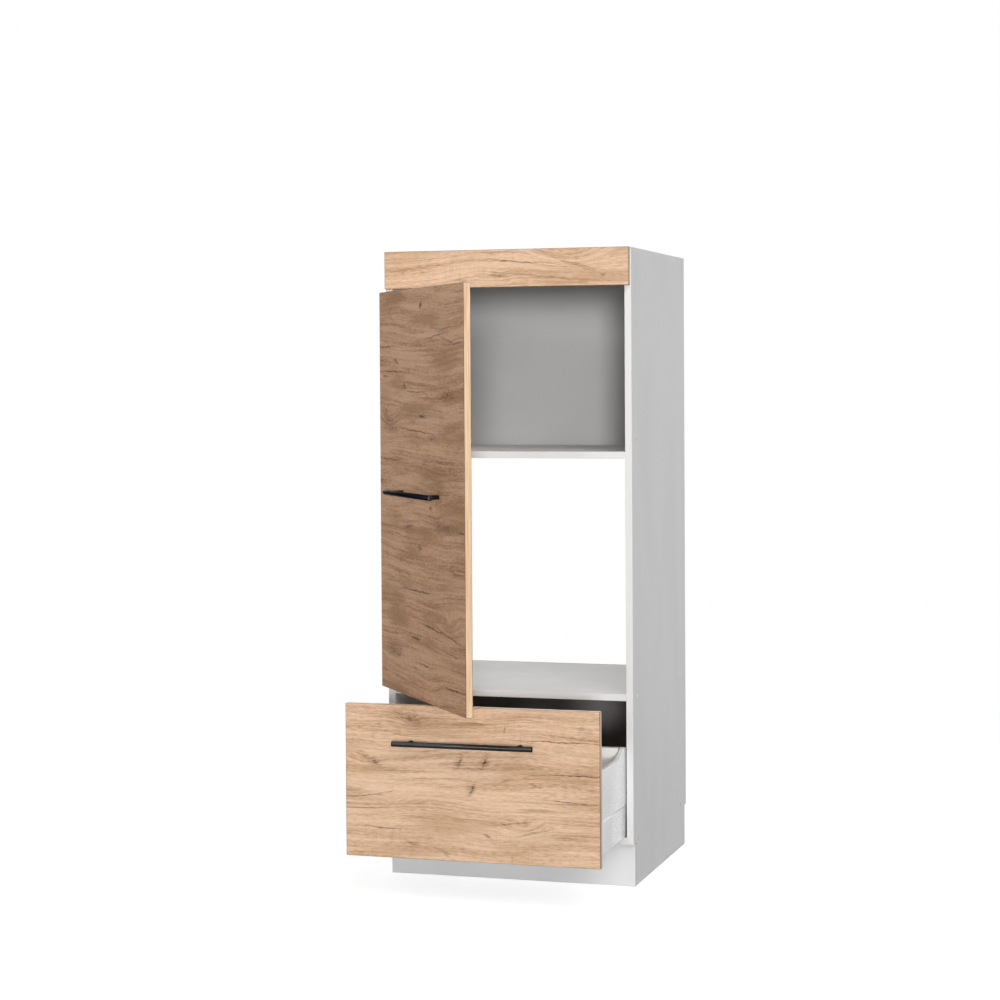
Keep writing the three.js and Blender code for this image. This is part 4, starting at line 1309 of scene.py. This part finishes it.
@dataclass
class Carcass:
    """Side panels, fixed panels, shelf, backs, fascia and plinth.

    Attributes:
        body: the body that it all rides on.
        screw_rows: height and two depths of each row of carcass screws.
        joining: height and two depths of the joining holes.
        back: y of the back panels' rear face.
        back_screws: x of the back panel screws in each row.
        bracket_x: distance of the fascia brackets' screws from the middle.
        block_rows: heights of the plinth block screws.
    """

    body: str = "carcass"
    screw_rows: tuple[tuple[float, float, float], ...] = (
        (BASE + HALF_BOARD, 44.0, 498.0), (LOWER_SHELF - HALF_BOARD, 44.0, 498.0),
        (HEIGHT - HALF_BOARD, 44.0, 446.0))
    joining: tuple[float, float, float] = (1040.0, 44.0, 446.0)
    back: float = 554.2
    back_screws: tuple[float, float, float] = (-252.0, 0.0, 252.0)
    bracket_x: float = 180.0
    block_rows: tuple[float, float] = (34.0, 60.0)

    def build(self) -> None:
        """Makes every piece of the carcass."""
        self.boards()
        self.backs()
        self.hardware()
        self.caps()
        self.screws()

    def boards(self) -> None:
        """White boards, banded in front and sawn where they are covered, and the oak fascia."""
        side = BoardDress(WHITE, WHITE, WHITE_EDGE, ("+y", "-z", "+z"))
        for which in Side:
            board(f"side_panel_{which.word}", "x", side, self.body)
        between = BoardDress(WHITE, SHELF_WHITE, WHITE_EDGE, ("+y", "-x", "+x"))
        for node in ("bottom_panel", "lower_shelf", "upper_shelf", "top_panel"):
            board(node, "z", between, self.body)
        plinth = BoardDress(PLINTH_SHADED_WHITE, PLINTH_SHADED_WHITE, WHITE_EDGE, ("-z", "+z"))
        board("plinth", "y", plinth, self.body)
        edging = OakEdging("oak_edging_fascia", STANDING)
        fascia = BoardDress(FASCIA_OAK, WHITE, edging, seam=SHADE_LINE)
        board("fascia", "y", fascia, self.body)

    def backs(self) -> None:
        """Hardboard backs: lacquered inside, brown outside, their inner greys partly painted shade.
        """
        for node, finish, slot in (("back_panel_upper", WHITE_BACK, "white_back"),
                                   ("back_panel_drawer_bay", SHADED_BAY_BACK, "charcoal_back")):
            dress = BoardDress(finish, BROWN_BACK, BROWN_BACK)
            board(node, "y", dress, self.body, ease=0.2)

    def hardware(self) -> None:
        """Fascia brackets, plinth blocks and shelf pins."""
        for which in Side:
            pressed(f"fascia_bracket_{which.word}", ZINC, self.body)
            pressed(f"plinth_block_{which.word}", WHITE_PLASTIC, self.body, 0.8)
            for word in ("front", "rear"):
                pressed(f"shelf_pin_{which.word}_{word}", ZINC, self.body, 0.3)

    def caps(self) -> None:
        """Plugs over the carcass screws, and in both ends of the joining holes."""
        over_screw, over_hole, inner_proud = 5.05, 3.95, 0.3
        wide, narrow = CoverPlug(over_screw).form(), CoverPlug(over_hole).form()
        inner = CoverPlug(over_hole, proud=inner_proud).form()
        height, *depths = self.joining
        for which in Side:
            s = which.value
            forms = [wide.aimed((s, 0, 0), (s * WIDTH / 2, y, z))
                     for z, *row in self.screw_rows for y in row]
            forms += [narrow.aimed((s, 0, 0), (s * WIDTH / 2, y, height)) for y in depths]
            forms += [inner.aimed((-s, 0, 0), (which.inside(0), y, height)) for y in depths]
            show(f"screw_plugs_{which.word}", gathered(forms), STANDING, WHITE_PLASTIC, self.body)

    def screws(self) -> None:
        """Carcass screws, back panel screws, and those of the brackets and plinth blocks."""
        carcass = turned([
            (0, -50), (1.2, -49), (2.5, -46), (2.5, -17), (3.3, -16.4), (3.3, -5.05), (4.6, -4.95),
            (4.6, -4.5), (2.2, -4.4), (2.0, -6.6), (0, -6.8)], 24)
        forms = [carcass.aimed((which.value, 0, 0), (which.value * WIDTH / 2, y, z))
                 for which in Side for z, *row in self.screw_rows for y in row]
        show("carcass_screws", gathered(forms), STANDING, ZINC, self.body)
        screw = PanScrew().form()
        tops = (BASE + BOARD, LOWER_SHELF, UPPER_SHELF, HEIGHT)
        forms = [screw.aimed((0, 1, 0), (x, self.back, top - HALF_BOARD))
                 for top in tops for x in self.back_screws]
        show("back_panel_screws", gathered(forms), STANDING, ZINC, self.body)
        under, leg, sheet = HEIGHT - BOARD, 18.0, 2.0
        forms = [screw.aimed((0, 0, -1), (which.value * self.bracket_x, leg, under - sheet))
                 for which in Side]
        forms += [screw.aimed((0, 1, 0), (which.value * self.bracket_x, sheet, under - leg))
                  for which in Side]
        # Each block is screwed to the plinth and to the side: how far inward, and y.
        to_plinth, to_side = (21.0, 35.0), (4.0, 52.0)
        for which in Side:
            ways = (((0, 1, 0), to_plinth), ((-which.value, 0, 0), to_side))
            forms += [screw.aimed(way, (which.inside(inward), y, z))
                      for z in self.block_rows for way, (inward, y) in ways]
        show("bracket_and_block_screws", gathered(forms), STANDING, ZINC, self.body)


@dataclass
class BarHandle:
    """A black nickel bar on two posts, with its two screws.

    Attributes:
        name: name of its frame node.
        middle: x and z of its middle on the closed cabinet.
        place: where it stands at rest.
        body: the body that it rides on.
        length: length of the bar.
        spacing: distance of the posts.
        radius: radius of the bar.
        off: bar centre to the front.
        rim: rounding at the ends of the bar.
        post: radius of the posts.
        bevel: bevel at the foot of the posts.
        bite: how far from the bar centre the posts end, inside the bar.
    """

    name: str
    middle: tuple[float, float]
    place: Place
    body: str
    length: float = 328.0
    spacing: float = 256.0
    radius: float = 6.0
    off: float = 32.0
    rim: float = 0.9
    post: float = 5.0
    bevel: float = 0.4
    bite: float = 5.3

    def build(self) -> None:
        """Makes the bar with its posts, and the two screws."""
        x, z = self.middle
        half, r, rim, top = self.length / 2, self.radius, self.rim, self.off - self.bite
        end = [(r - rim + rim * math.sin(a), rim - rim * math.cos(a))
               for a in np.linspace(0, math.pi / 2, 6)]
        profile = [(0, -half)] + [(a, -half + b) for a, b in end] + [(r, 0.0)]
        profile += [(a, half - b) for a, b in reversed(end)] + [(0, half)]
        bar = turned(profile, 64).aimed((1, 0, 0), (x, FRONT_OUT - self.off, z))
        post = turned([(0, CLEAR), (self.post - self.bevel, CLEAR), (self.post, CLEAR + self.bevel),
                       (self.post, top), (0, top)], 48)
        ends = [x + which.value * self.spacing / 2 for which in Side]
        posts = [post.aimed((0, -1, 0), (end, FRONT_OUT, z)) for end in ends]
        show(self.name + "_bar", gathered([bar, *posts]), self.place, BLACK_BAR, self.body,
             [self.name])
        screw = PanScrew(4.0, 2.2, 1.9, 20.0).form()
        for which, end in zip(Side, ends):
            node = f"{self.name}_screw_{which.word}"
            show(node + "_machine", screw.aimed((0, 1, 0), (end, FRONT_IN + CLEAR, z)), self.place,
                 ZINC, self.body, [node])


def bumper(name: str, x: float, z: float, place: Place, body: str) -> None:
    """A stick-on bumper on the inner face of a front.

    Args:
        name: its frame node.
        x: place on the closed cabinet.
        z: height.
        place: where it stands at rest.
        body: the body that it rides on.
    """
    radius, rim, dome = 4.0, 0.5, 0.9
    arc = [(radius * math.cos(a) ** 0.7, rim + dome * math.sin(a))
           for a in np.linspace(0, math.pi / 2, 8)[:-1]]
    form = turned([(0, CLEAR), (radius - 0.1, CLEAR), *arc, (0, rim + dome)], 32)
    show(name + "_dot", form.aimed((0, 1, 0), (x, FRONT_IN, z)), place, RUBBER, body, [name])


@dataclass
class Door:
    """The door leaf with its handle, bumpers and hinge cups.

    Attributes:
        body: the body that it rides on.
        cup_x: x of the cups' centres.
        cup_r: outer radius of the cups.
        hinge_heights: heights of the hinges.
        pin: radius and half length of the pin in each cup.
        pin_off: x and y from the line that the door turns about to that pin.
    """

    body: str = "door"
    cup_x: float = -276.5
    cup_r: float = 17.3
    hinge_heights: tuple[tuple[str, float], ...] = (
        ("lower", DOOR_LOW + 100), ("upper", DOOR_HIGH - 100))
    pin: tuple[float, float] = (1.3, 13.4)
    pin_off: tuple[float, float] = (14.5, -7.0)

    def build(self) -> None:
        """Makes the leaf and what is fixed to it."""
        edging = OakEdging("oak_edging_door", DOOR_PLACE)
        dress = BoardDress(DOOR_OAK, DOOR_OAK_INNER, edging, seam=SHADE_LINE)
        board("door_panel", "y", dress, self.body, DOOR_PLACE)
        middle = (0.0, (DOOR_LOW + DOOR_HIGH) / 2)
        BarHandle("door_handle", middle, DOOR_PLACE, self.body).build()
        for word, z in (("lower", DOOR_LOW + BUMPER_END), ("upper", DOOR_HIGH - BUMPER_END)):
            bumper(f"door_bumper_{word}", BUMPER_X, z, DOOR_PLACE, self.body)
        for word, z in self.hinge_heights:
            self.cup(word, z)

    def cup(self, word: str, z: float) -> None:
        """A pressed cup with its flange, pin and two screws.

        At angle a the flange reaches the greater of the round collar and the long plate. The
        plate is a strip 18 mm wide and 62 mm long, set 6 mm inwards, so its reach is the least
        distance along a to its long sides or its round ends.

        Args:
            word: which hinge.
            z: its height.
        """
        columns, collar, sheet, screw_off = 96, 2, 1.0, 24
        a = np.linspace(0, 2 * math.pi, columns, endpoint=False)
        cos, sin = np.cos(a), np.sin(a)
        inset, wide, centre = 6.0, 9.0, 22.0
        sides = np.where(cos > 0, (inset + wide), (wide - inset)) / np.maximum(np.abs(cos), 1e-6)
        mid_x, mid_y = inset, np.where(sin > 0, centre, -centre)
        along = cos * mid_x + sin * mid_y
        ends = along + np.sqrt(np.maximum(wide ** 2 - (mid_x ** 2 + mid_y ** 2 - along ** 2), 0))
        plate = np.where(np.abs(sides * sin) <= centre, sides, ends)
        rim, r = np.maximum(plate, self.cup_r + collar), self.cup_r
        # Radius and height: under the cup, up its outside, over the flange and down its inside.
        rows = [(0, -11.2), (r - 2.4, -11.2), (r - 0.9, -10.6), (r, -9.4), (r, 0.0),
                (rim - 0.2, 0.0), (rim, 0.2), (rim, 0.8), (rim - 0.25, sheet), (r - 0.4, sheet),
                (r - 1, 0.5), (r - 1, -9.0), (r - 2.6, -10.3), (0, -10.3)]
        ones = np.ones(columns)
        form = polar(*(np.array([row[i] * ones for row in rows]) for i in (0, 1)))
        # Local z becomes +y, out of the door's inner face, and local y becomes -z.
        axes = np.array(((1.0, 0, 0), (0, 0, -1.0), (0, 1.0, 0)))
        form = form.moved(axes, (self.cup_x, FRONT_IN + CLEAR, z))
        (thin, half), (pin_x, pin_y) = self.pin, self.pin_off
        pin = turned([(0, -half), (thin, -half), (thin, half), (0, half)], 24)
        pin = pin.aimed((0, 0, 1), (HINGE_LINE[0] + pin_x, HINGE_LINE[1] + pin_y, z))
        show(f"hinge_cup_{word}_pressed", gathered([form, pin]), DOOR_PLACE, NICKEL, self.body,
             [f"hinge_cup_{word}"])
        screw = PanScrew(length=9.0).form()
        at_y = FRONT_IN + CLEAR + sheet
        forms = [screw.aimed((0, 1, 0), (self.cup_x + inset, at_y, z + way * screw_off))
                 for way in (-1, 1)]
        show(f"hinge_cup_screws_{word}", gathered(forms), DOOR_PLACE, NICKEL, self.body)


@dataclass
class Hinges:
    """Mounting plates, arms and links between the side panel and the door.

    The links keep the eyes of their solids, so the pins run free in them.

    Attributes:
        plate_screws: how far inward, how deep and how far above and below the middle they are.
        arm_screw: how far inward and how deep it is.
    """

    plate_screws: tuple[float, float, float] = (2.5, 37.0, 16.0)
    arm_screw: tuple[float, float] = (16.0, 48.0)

    def build(self) -> None:
        """Makes the fixed parts and the two kinds of link of each hinge."""
        screw, side = PanScrew(length=9.0).form(), Side.LEFT
        inward, deep, apart = self.plate_screws
        for word, z in Door.hinge_heights:
            pressed(f"hinge_plate_{word}", NICKEL, "carcass", 0.3)
            pressed(f"hinge_arm_{word}", NICKEL, "carcass", 0.35)
            forms = [screw.aimed((1, 0, 0), (side.inside(inward), deep, z + way * apart))
                     for way in (-1, 1)]
            arm_inward, arm_deep = self.arm_screw
            forms.append(screw.aimed((1, 0, 0), (side.inside(arm_inward), arm_deep, z)))
            show(f"hinge_plate_screws_{word}", gathered(forms), STANDING, ZINC, "carcass")
            for which in ("inner", "outer"):
                pressed(f"hinge_{which}_link_{word}", NICKEL, f"hinge_{which}_links", 0.2)


@dataclass
class Drawer:
    """The pulled-out drawer with its steel sides, handle and runner slides.

    Attributes:
        body: the body that it rides on.
        front_end: y where the steel sides start.
        rear_end: y where they end.
        handle: x of the handle's middle, and how far it is below the front's upper edge.
        profile_top: height where the lower profile ends and the upper wall starts.
        wall_top: height of the level part of the upper wall.
        sweep: rise and length of the upper wall's sweep up to the drawer back.
    """

    body: str = "drawer"
    front_end: float = FRONT_IN + 1.5
    rear_end: float = FRONT_IN + 300.0
    handle: tuple[float, float] = (-12.0, 84.0)
    profile_top: float = 190.0
    wall_top: float = 305.0
    sweep: tuple[float, float] = (19.0, 75.0)

    def build(self) -> None:
        """Makes every piece of the drawer."""
        edging = OakEdging("oak_edging_drawer", DRAWER_PLACE)
        dress = BoardDress(DRAWER_OAK, DRAWER_OAK_INNER, edging, seam=SHADE_LINE)
        board("drawer_front", "y", dress, self.body, DRAWER_PLACE)
        floor = BoardDress(WHITE, WHITE, RAW, ("-x", "+x"))
        board("drawer_floor", "z", floor, self.body)
        back = BoardDress(WHITE, WHITE, WHITE_EDGE, ("-z", "-x", "+x"))
        board("drawer_back", "y", back, self.body)
        x, below = self.handle
        middle = (x, DRAWER_FRONT_HIGH - below)
        BarHandle("drawer_handle", middle, DRAWER_PLACE, self.body).build()
        for which in Side:
            self.steel_side(which)
            pressed(f"drawer_back_bracket_{which.word}", COAT, self.body)
            pressed(f"drawer_front_bracket_{which.word}", ZINC, self.body)
            pressed(f"runner_slide_{which.word}", ZINC, self.body)
            bumper(f"drawer_bumper_{which.word}", which.value * BUMPER_X,
                   DRAWER_FRONT_HIGH - BUMPER_END, DRAWER_PLACE, self.body)
        self.screws()

    def steel_side(self, which: Side) -> None:
        """One lower profile, bent from sheet, and the double wall that stands on it.

        Args:
            which: left or right.
        """
        sheet, foot, ledge, top = 1.2, 118.0, 124.0, self.profile_top
        outer, inner, lip, bend, ease = 4.0, 20.0, 32.0, 1.6, 0.15
        section = [(outer, foot), (outer, top), (inner, top), (inner, ledge + sheet),
                   (lip, ledge + sheet), (lip, ledge), (inner - sheet, ledge),
                   (inner - sheet, top - sheet), (outer + sheet, top - sheet),
                   (outer + sheet, foot)]
        outline = softened([(which.inside(inward), z) for inward, z in section], bend)
        profile = slab(outline, "y", self.front_end, self.rear_end, ease, 1)
        for part, form in (("side_{}_profile", profile), ("wall_{}_shell", self.wall(which))):
            name = "drawer_" + part.format(which.word)
            show(name, form, DRAWER_PLACE, COAT, self.body, [name.rpartition("_")[0]])

    def wall(self, which: Side) -> Form:
        """The upper wall. Its top edge is level, then sweeps up to the drawer back on an arc.

        The arc has radius (l^2 + h^2) / 2h for a rise h over a length l, so it starts level.

        Args:
            which: left or right.

        Returns:
            The wall with rims eased by 2.2 mm.
        """
        (rise, run), level, foot = self.sweep, self.wall_top, self.profile_top
        outer, inner, ease = 6.0, 18.0, 2.2
        radius = (run ** 2 + rise ** 2) / (2 * rise)
        end = self.rear_end - BOARD
        turn = np.linspace(0, math.asin(run / radius), 14)
        arc = np.stack((end - run + radius * np.sin(turn), level + radius * (1 - np.cos(turn))),
                       axis=1)
        outline = np.concatenate((
            [(self.rear_end, foot), (self.rear_end, level + rise)], arc[::-1],
            [(self.front_end, level), (self.front_end, foot)]))
        low, high = sorted((which.inside(outer), which.inside(inner)))
        return slab(outline, "x", low, high, ease, 5)

    def screws(self) -> None:
        """Screws of the front and rear brackets."""
        screw = PanScrew().form()
        # How far inward, y and the two heights: front brackets, then rear brackets.
        rows = ((27, self.front_end, (155.2, 222.0)), (33, self.rear_end + 1.5, (177.2, 288.0)))
        forms = [screw.aimed((0, 1, 0), (which.inside(inward), y, z))
                 for which in Side for inward, y, heights in rows for z in heights]
        show("drawer_bracket_screws", gathered(forms), DRAWER_PLACE, ZINC, self.body)


@dataclass
class Runners:
    """Cabinet rails and the middle members between rail and slide.

    Attributes:
        sheet: thickness of the rail.
        screw_z: height of the rail screws.
        screw_y: their depths.
    """

    sheet: float = 1.2
    screw_z: float = 135.5
    screw_y: tuple[float, float] = (40.0, 266.0)

    def build(self) -> None:
        """Makes rails, middle members and rail screws."""
        screw = PanScrew(length=10.0).form()
        forms = []
        for which in Side:
            pressed(f"runner_rail_{which.word}", ZINC, "carcass")
            pressed(f"runner_middle_{which.word}", ZINC, "runner_middles")
            forms += [screw.aimed((-which.value, 0, 0), (which.inside(self.sheet), y, self.screw_z))
                      for y in self.screw_y]
        show("runner_rail_screws", gathered(forms), STANDING, ZINC, "carcass")


# ------------------------------------------------------------------ studio


@dataclass(frozen=True)
class SoftSun:
    """A distant lamp with a wide soft disc.

    Attributes:
        side: degrees to the right of straight in front.
        rise: degrees above the horizon.
        spread: width of the disc in degrees.
        strength: share of full light that it gives a surface facing it.
    """

    side: float
    rise: float
    spread: float
    strength: float


@dataclass
class Studio:
    """Pale floor, soft light and the camera at the photograph's angle.

    Attributes:
        eye: the camera's place on the closed cabinet's axes.
        yaw: degrees that it looks to the left of +y.
        pitch: degrees above the horizon.
        roll: degrees.
        focal: focal length in pixels of a 1000 pixel frame.
        middle: pixel of the optical axis.
        suns: the lamps.
        sky: strength of the even light.
        glow: what the floor adds for the camera alone, so that it reads white.
    """

    eye: tuple[float, float, float] = (1592.65, -5261.46, 1174.22)
    yaw: float = 17.11
    pitch: float = -1.40
    roll: float = -0.35
    focal: float = 2342.07
    middle: tuple[float, float] = (496.5, 440.0)
    suns: tuple[SoftSun, ...] = (SoftSun(17.0, 1.8, 9.0, 0.58), SoftSun(37.0, 40.0, 40.0, 0.40),
                                  SoftSun(-15.5, 8.0, 4.0, 0.05), SoftSun(-152.0, 22.0, 50.0, 0.30))
    sky: float = 0.17
    glow: float = 0.78

    def build(self) -> None:
        """Makes camera, world, lamp and floor, and sets the plain view transform."""
        bpy.context.scene.view_settings.view_transform = "Standard"
        self.camera()
        self.world()
        for index, sun in enumerate(self.suns):
            self.lamp(index, sun)
        self.floor()

    def camera(self) -> None:
        """Places the camera from its yaw, pitch and roll."""
        pixels, sensor = 1000.0, 36.0
        yaw, pitch, roll = (math.radians(v) for v in (self.yaw, self.pitch, self.roll))
        ahead = Vector((-math.sin(yaw) * math.cos(pitch), math.cos(yaw) * math.cos(pitch),
                        math.sin(pitch)))
        level = Vector((math.cos(yaw), math.sin(yaw), 0.0))
        above = level.cross(ahead)
        right = level * math.cos(roll) + above * math.sin(roll)
        up = above * math.cos(roll) - level * math.sin(roll)
        data = bpy.data.cameras.new("photo_camera")
        data.sensor_width = sensor
        data.lens = self.focal * sensor / pixels
        data.shift_x = (pixels / 2 - self.middle[0]) / pixels
        data.shift_y = (self.middle[1] - pixels / 2) / pixels
        data.clip_start, data.clip_end = 0.1, 100.0
        camera = placed("photo_camera", data)
        camera.matrix_world = Matrix((
            (right.x, up.x, -ahead.x, self.eye[0] * MM),
            (right.y, up.y, -ahead.y, (self.eye[1] + ORIGIN_Y) * MM),
            (right.z, up.z, -ahead.z, self.eye[2] * MM),
            (0.0, 0.0, 0.0, 1.0)))
        bpy.context.scene.camera = camera

    def world(self) -> None:
        """White where it is seen or mirrored, and an even sky where it lights."""
        world = bpy.data.worlds.new("studio")
        bpy.context.scene.world = world
        g = Graph(world)
        path = g.put("LightPath").node.outputs
        mirrored = g.put(Kind.ADD, (path["Is Glossy Ray"], path["Is Transmission Ray"]),
                         use_clamp=True)
        seen = g.put(Kind.ADD, (path["Is Camera Ray"], mirrored), use_clamp=True)
        strength = g.put("MapRange", {"Value": seen, "To Min": self.sky, "To Max": 1.0})
        light = g.put("Background", {"Color": PLAIN_WHITE, "Strength": strength})
        g.put("OutputWorld", {"Surface": light})

    def lamp(self, index: int, sun: SoftSun) -> None:
        """Places one distant lamp.

        Args:
            index: its number.
            sun: the lamp.
        """
        side, rise = math.radians(sun.side), math.radians(sun.rise)
        data = bpy.data.lights.new(f"soft_sun_{index}", "SUN")
        data.energy, data.angle = sun.strength * math.pi, math.radians(sun.spread)
        lamp = placed(data.name, data)
        lamp.rotation_mode = "QUATERNION"
        towards = Vector((math.sin(side) * math.cos(rise), -math.cos(side) * math.cos(rise),
                          math.sin(rise)))
        lamp.rotation_quaternion = towards.to_track_quat("Z", "Y")

    def floor(self) -> None:
        """A pale matt floor that keeps a soft shadow and fades into the white backdrop."""
        half, below, pale_to, white_from = 30.0, -0.0006, 1.4, 3.2
        g = Graph(bpy.data.materials.new("pale_floor"))
        at = g.put("TexCoord", out="Object")
        far = g.put("VectorMath", {0: at}, out="Value", operation="LENGTH")
        path = g.put("LightPath").node.outputs
        seen = path["Is Camera Ray"]
        glow = g.put(Kind.TIMES, (seen, self.glow))
        near = g.put("AddShader", {
            0: g.put("BsdfDiffuse", {"Color": linear("#c4c4c4")}),
            1: g.put("Emission", {"Color": PLAIN_WHITE, "Strength": glow})})
        white = g.put("Emission", {"Color": PLAIN_WHITE, "Strength": 1.0})
        shown = g.put(Kind.LARGER, (seen, path["Is Glossy Ray"]))
        fade = g.put(Kind.TIMES, (g.put(Kind.STEP, (far, pale_to, white_from)), shown))
        mixed = g.put("MixShader", {0: fade, 1: near, 2: white})
        g.put("OutputMaterial", {"Surface": mixed})
        mesh = bpy.data.meshes.new("floor")
        corners = ((-half, -half), (half, -half), (half, half), (-half, half))
        mesh.from_pydata([(x, y, below) for x, y in corners], [], [(0, 1, 2, 3)])
        mesh.materials.append(g.owner)
        plane = placed("floor", mesh)


def main() -> None:
    """Builds the studio and the sub-assemblies."""
    logging.basicConfig(level=logging.INFO, format="%(name)s: %(message)s", stream=sys.stdout)
    for part in (Studio(), Carcass(), Door(), Hinges(), Drawer(), Runners()):
        part.build()
        log.info("%s is built", type(part).__name__)
    bpy.context.view_layer.update()


if __name__ == "__main__":
    main()
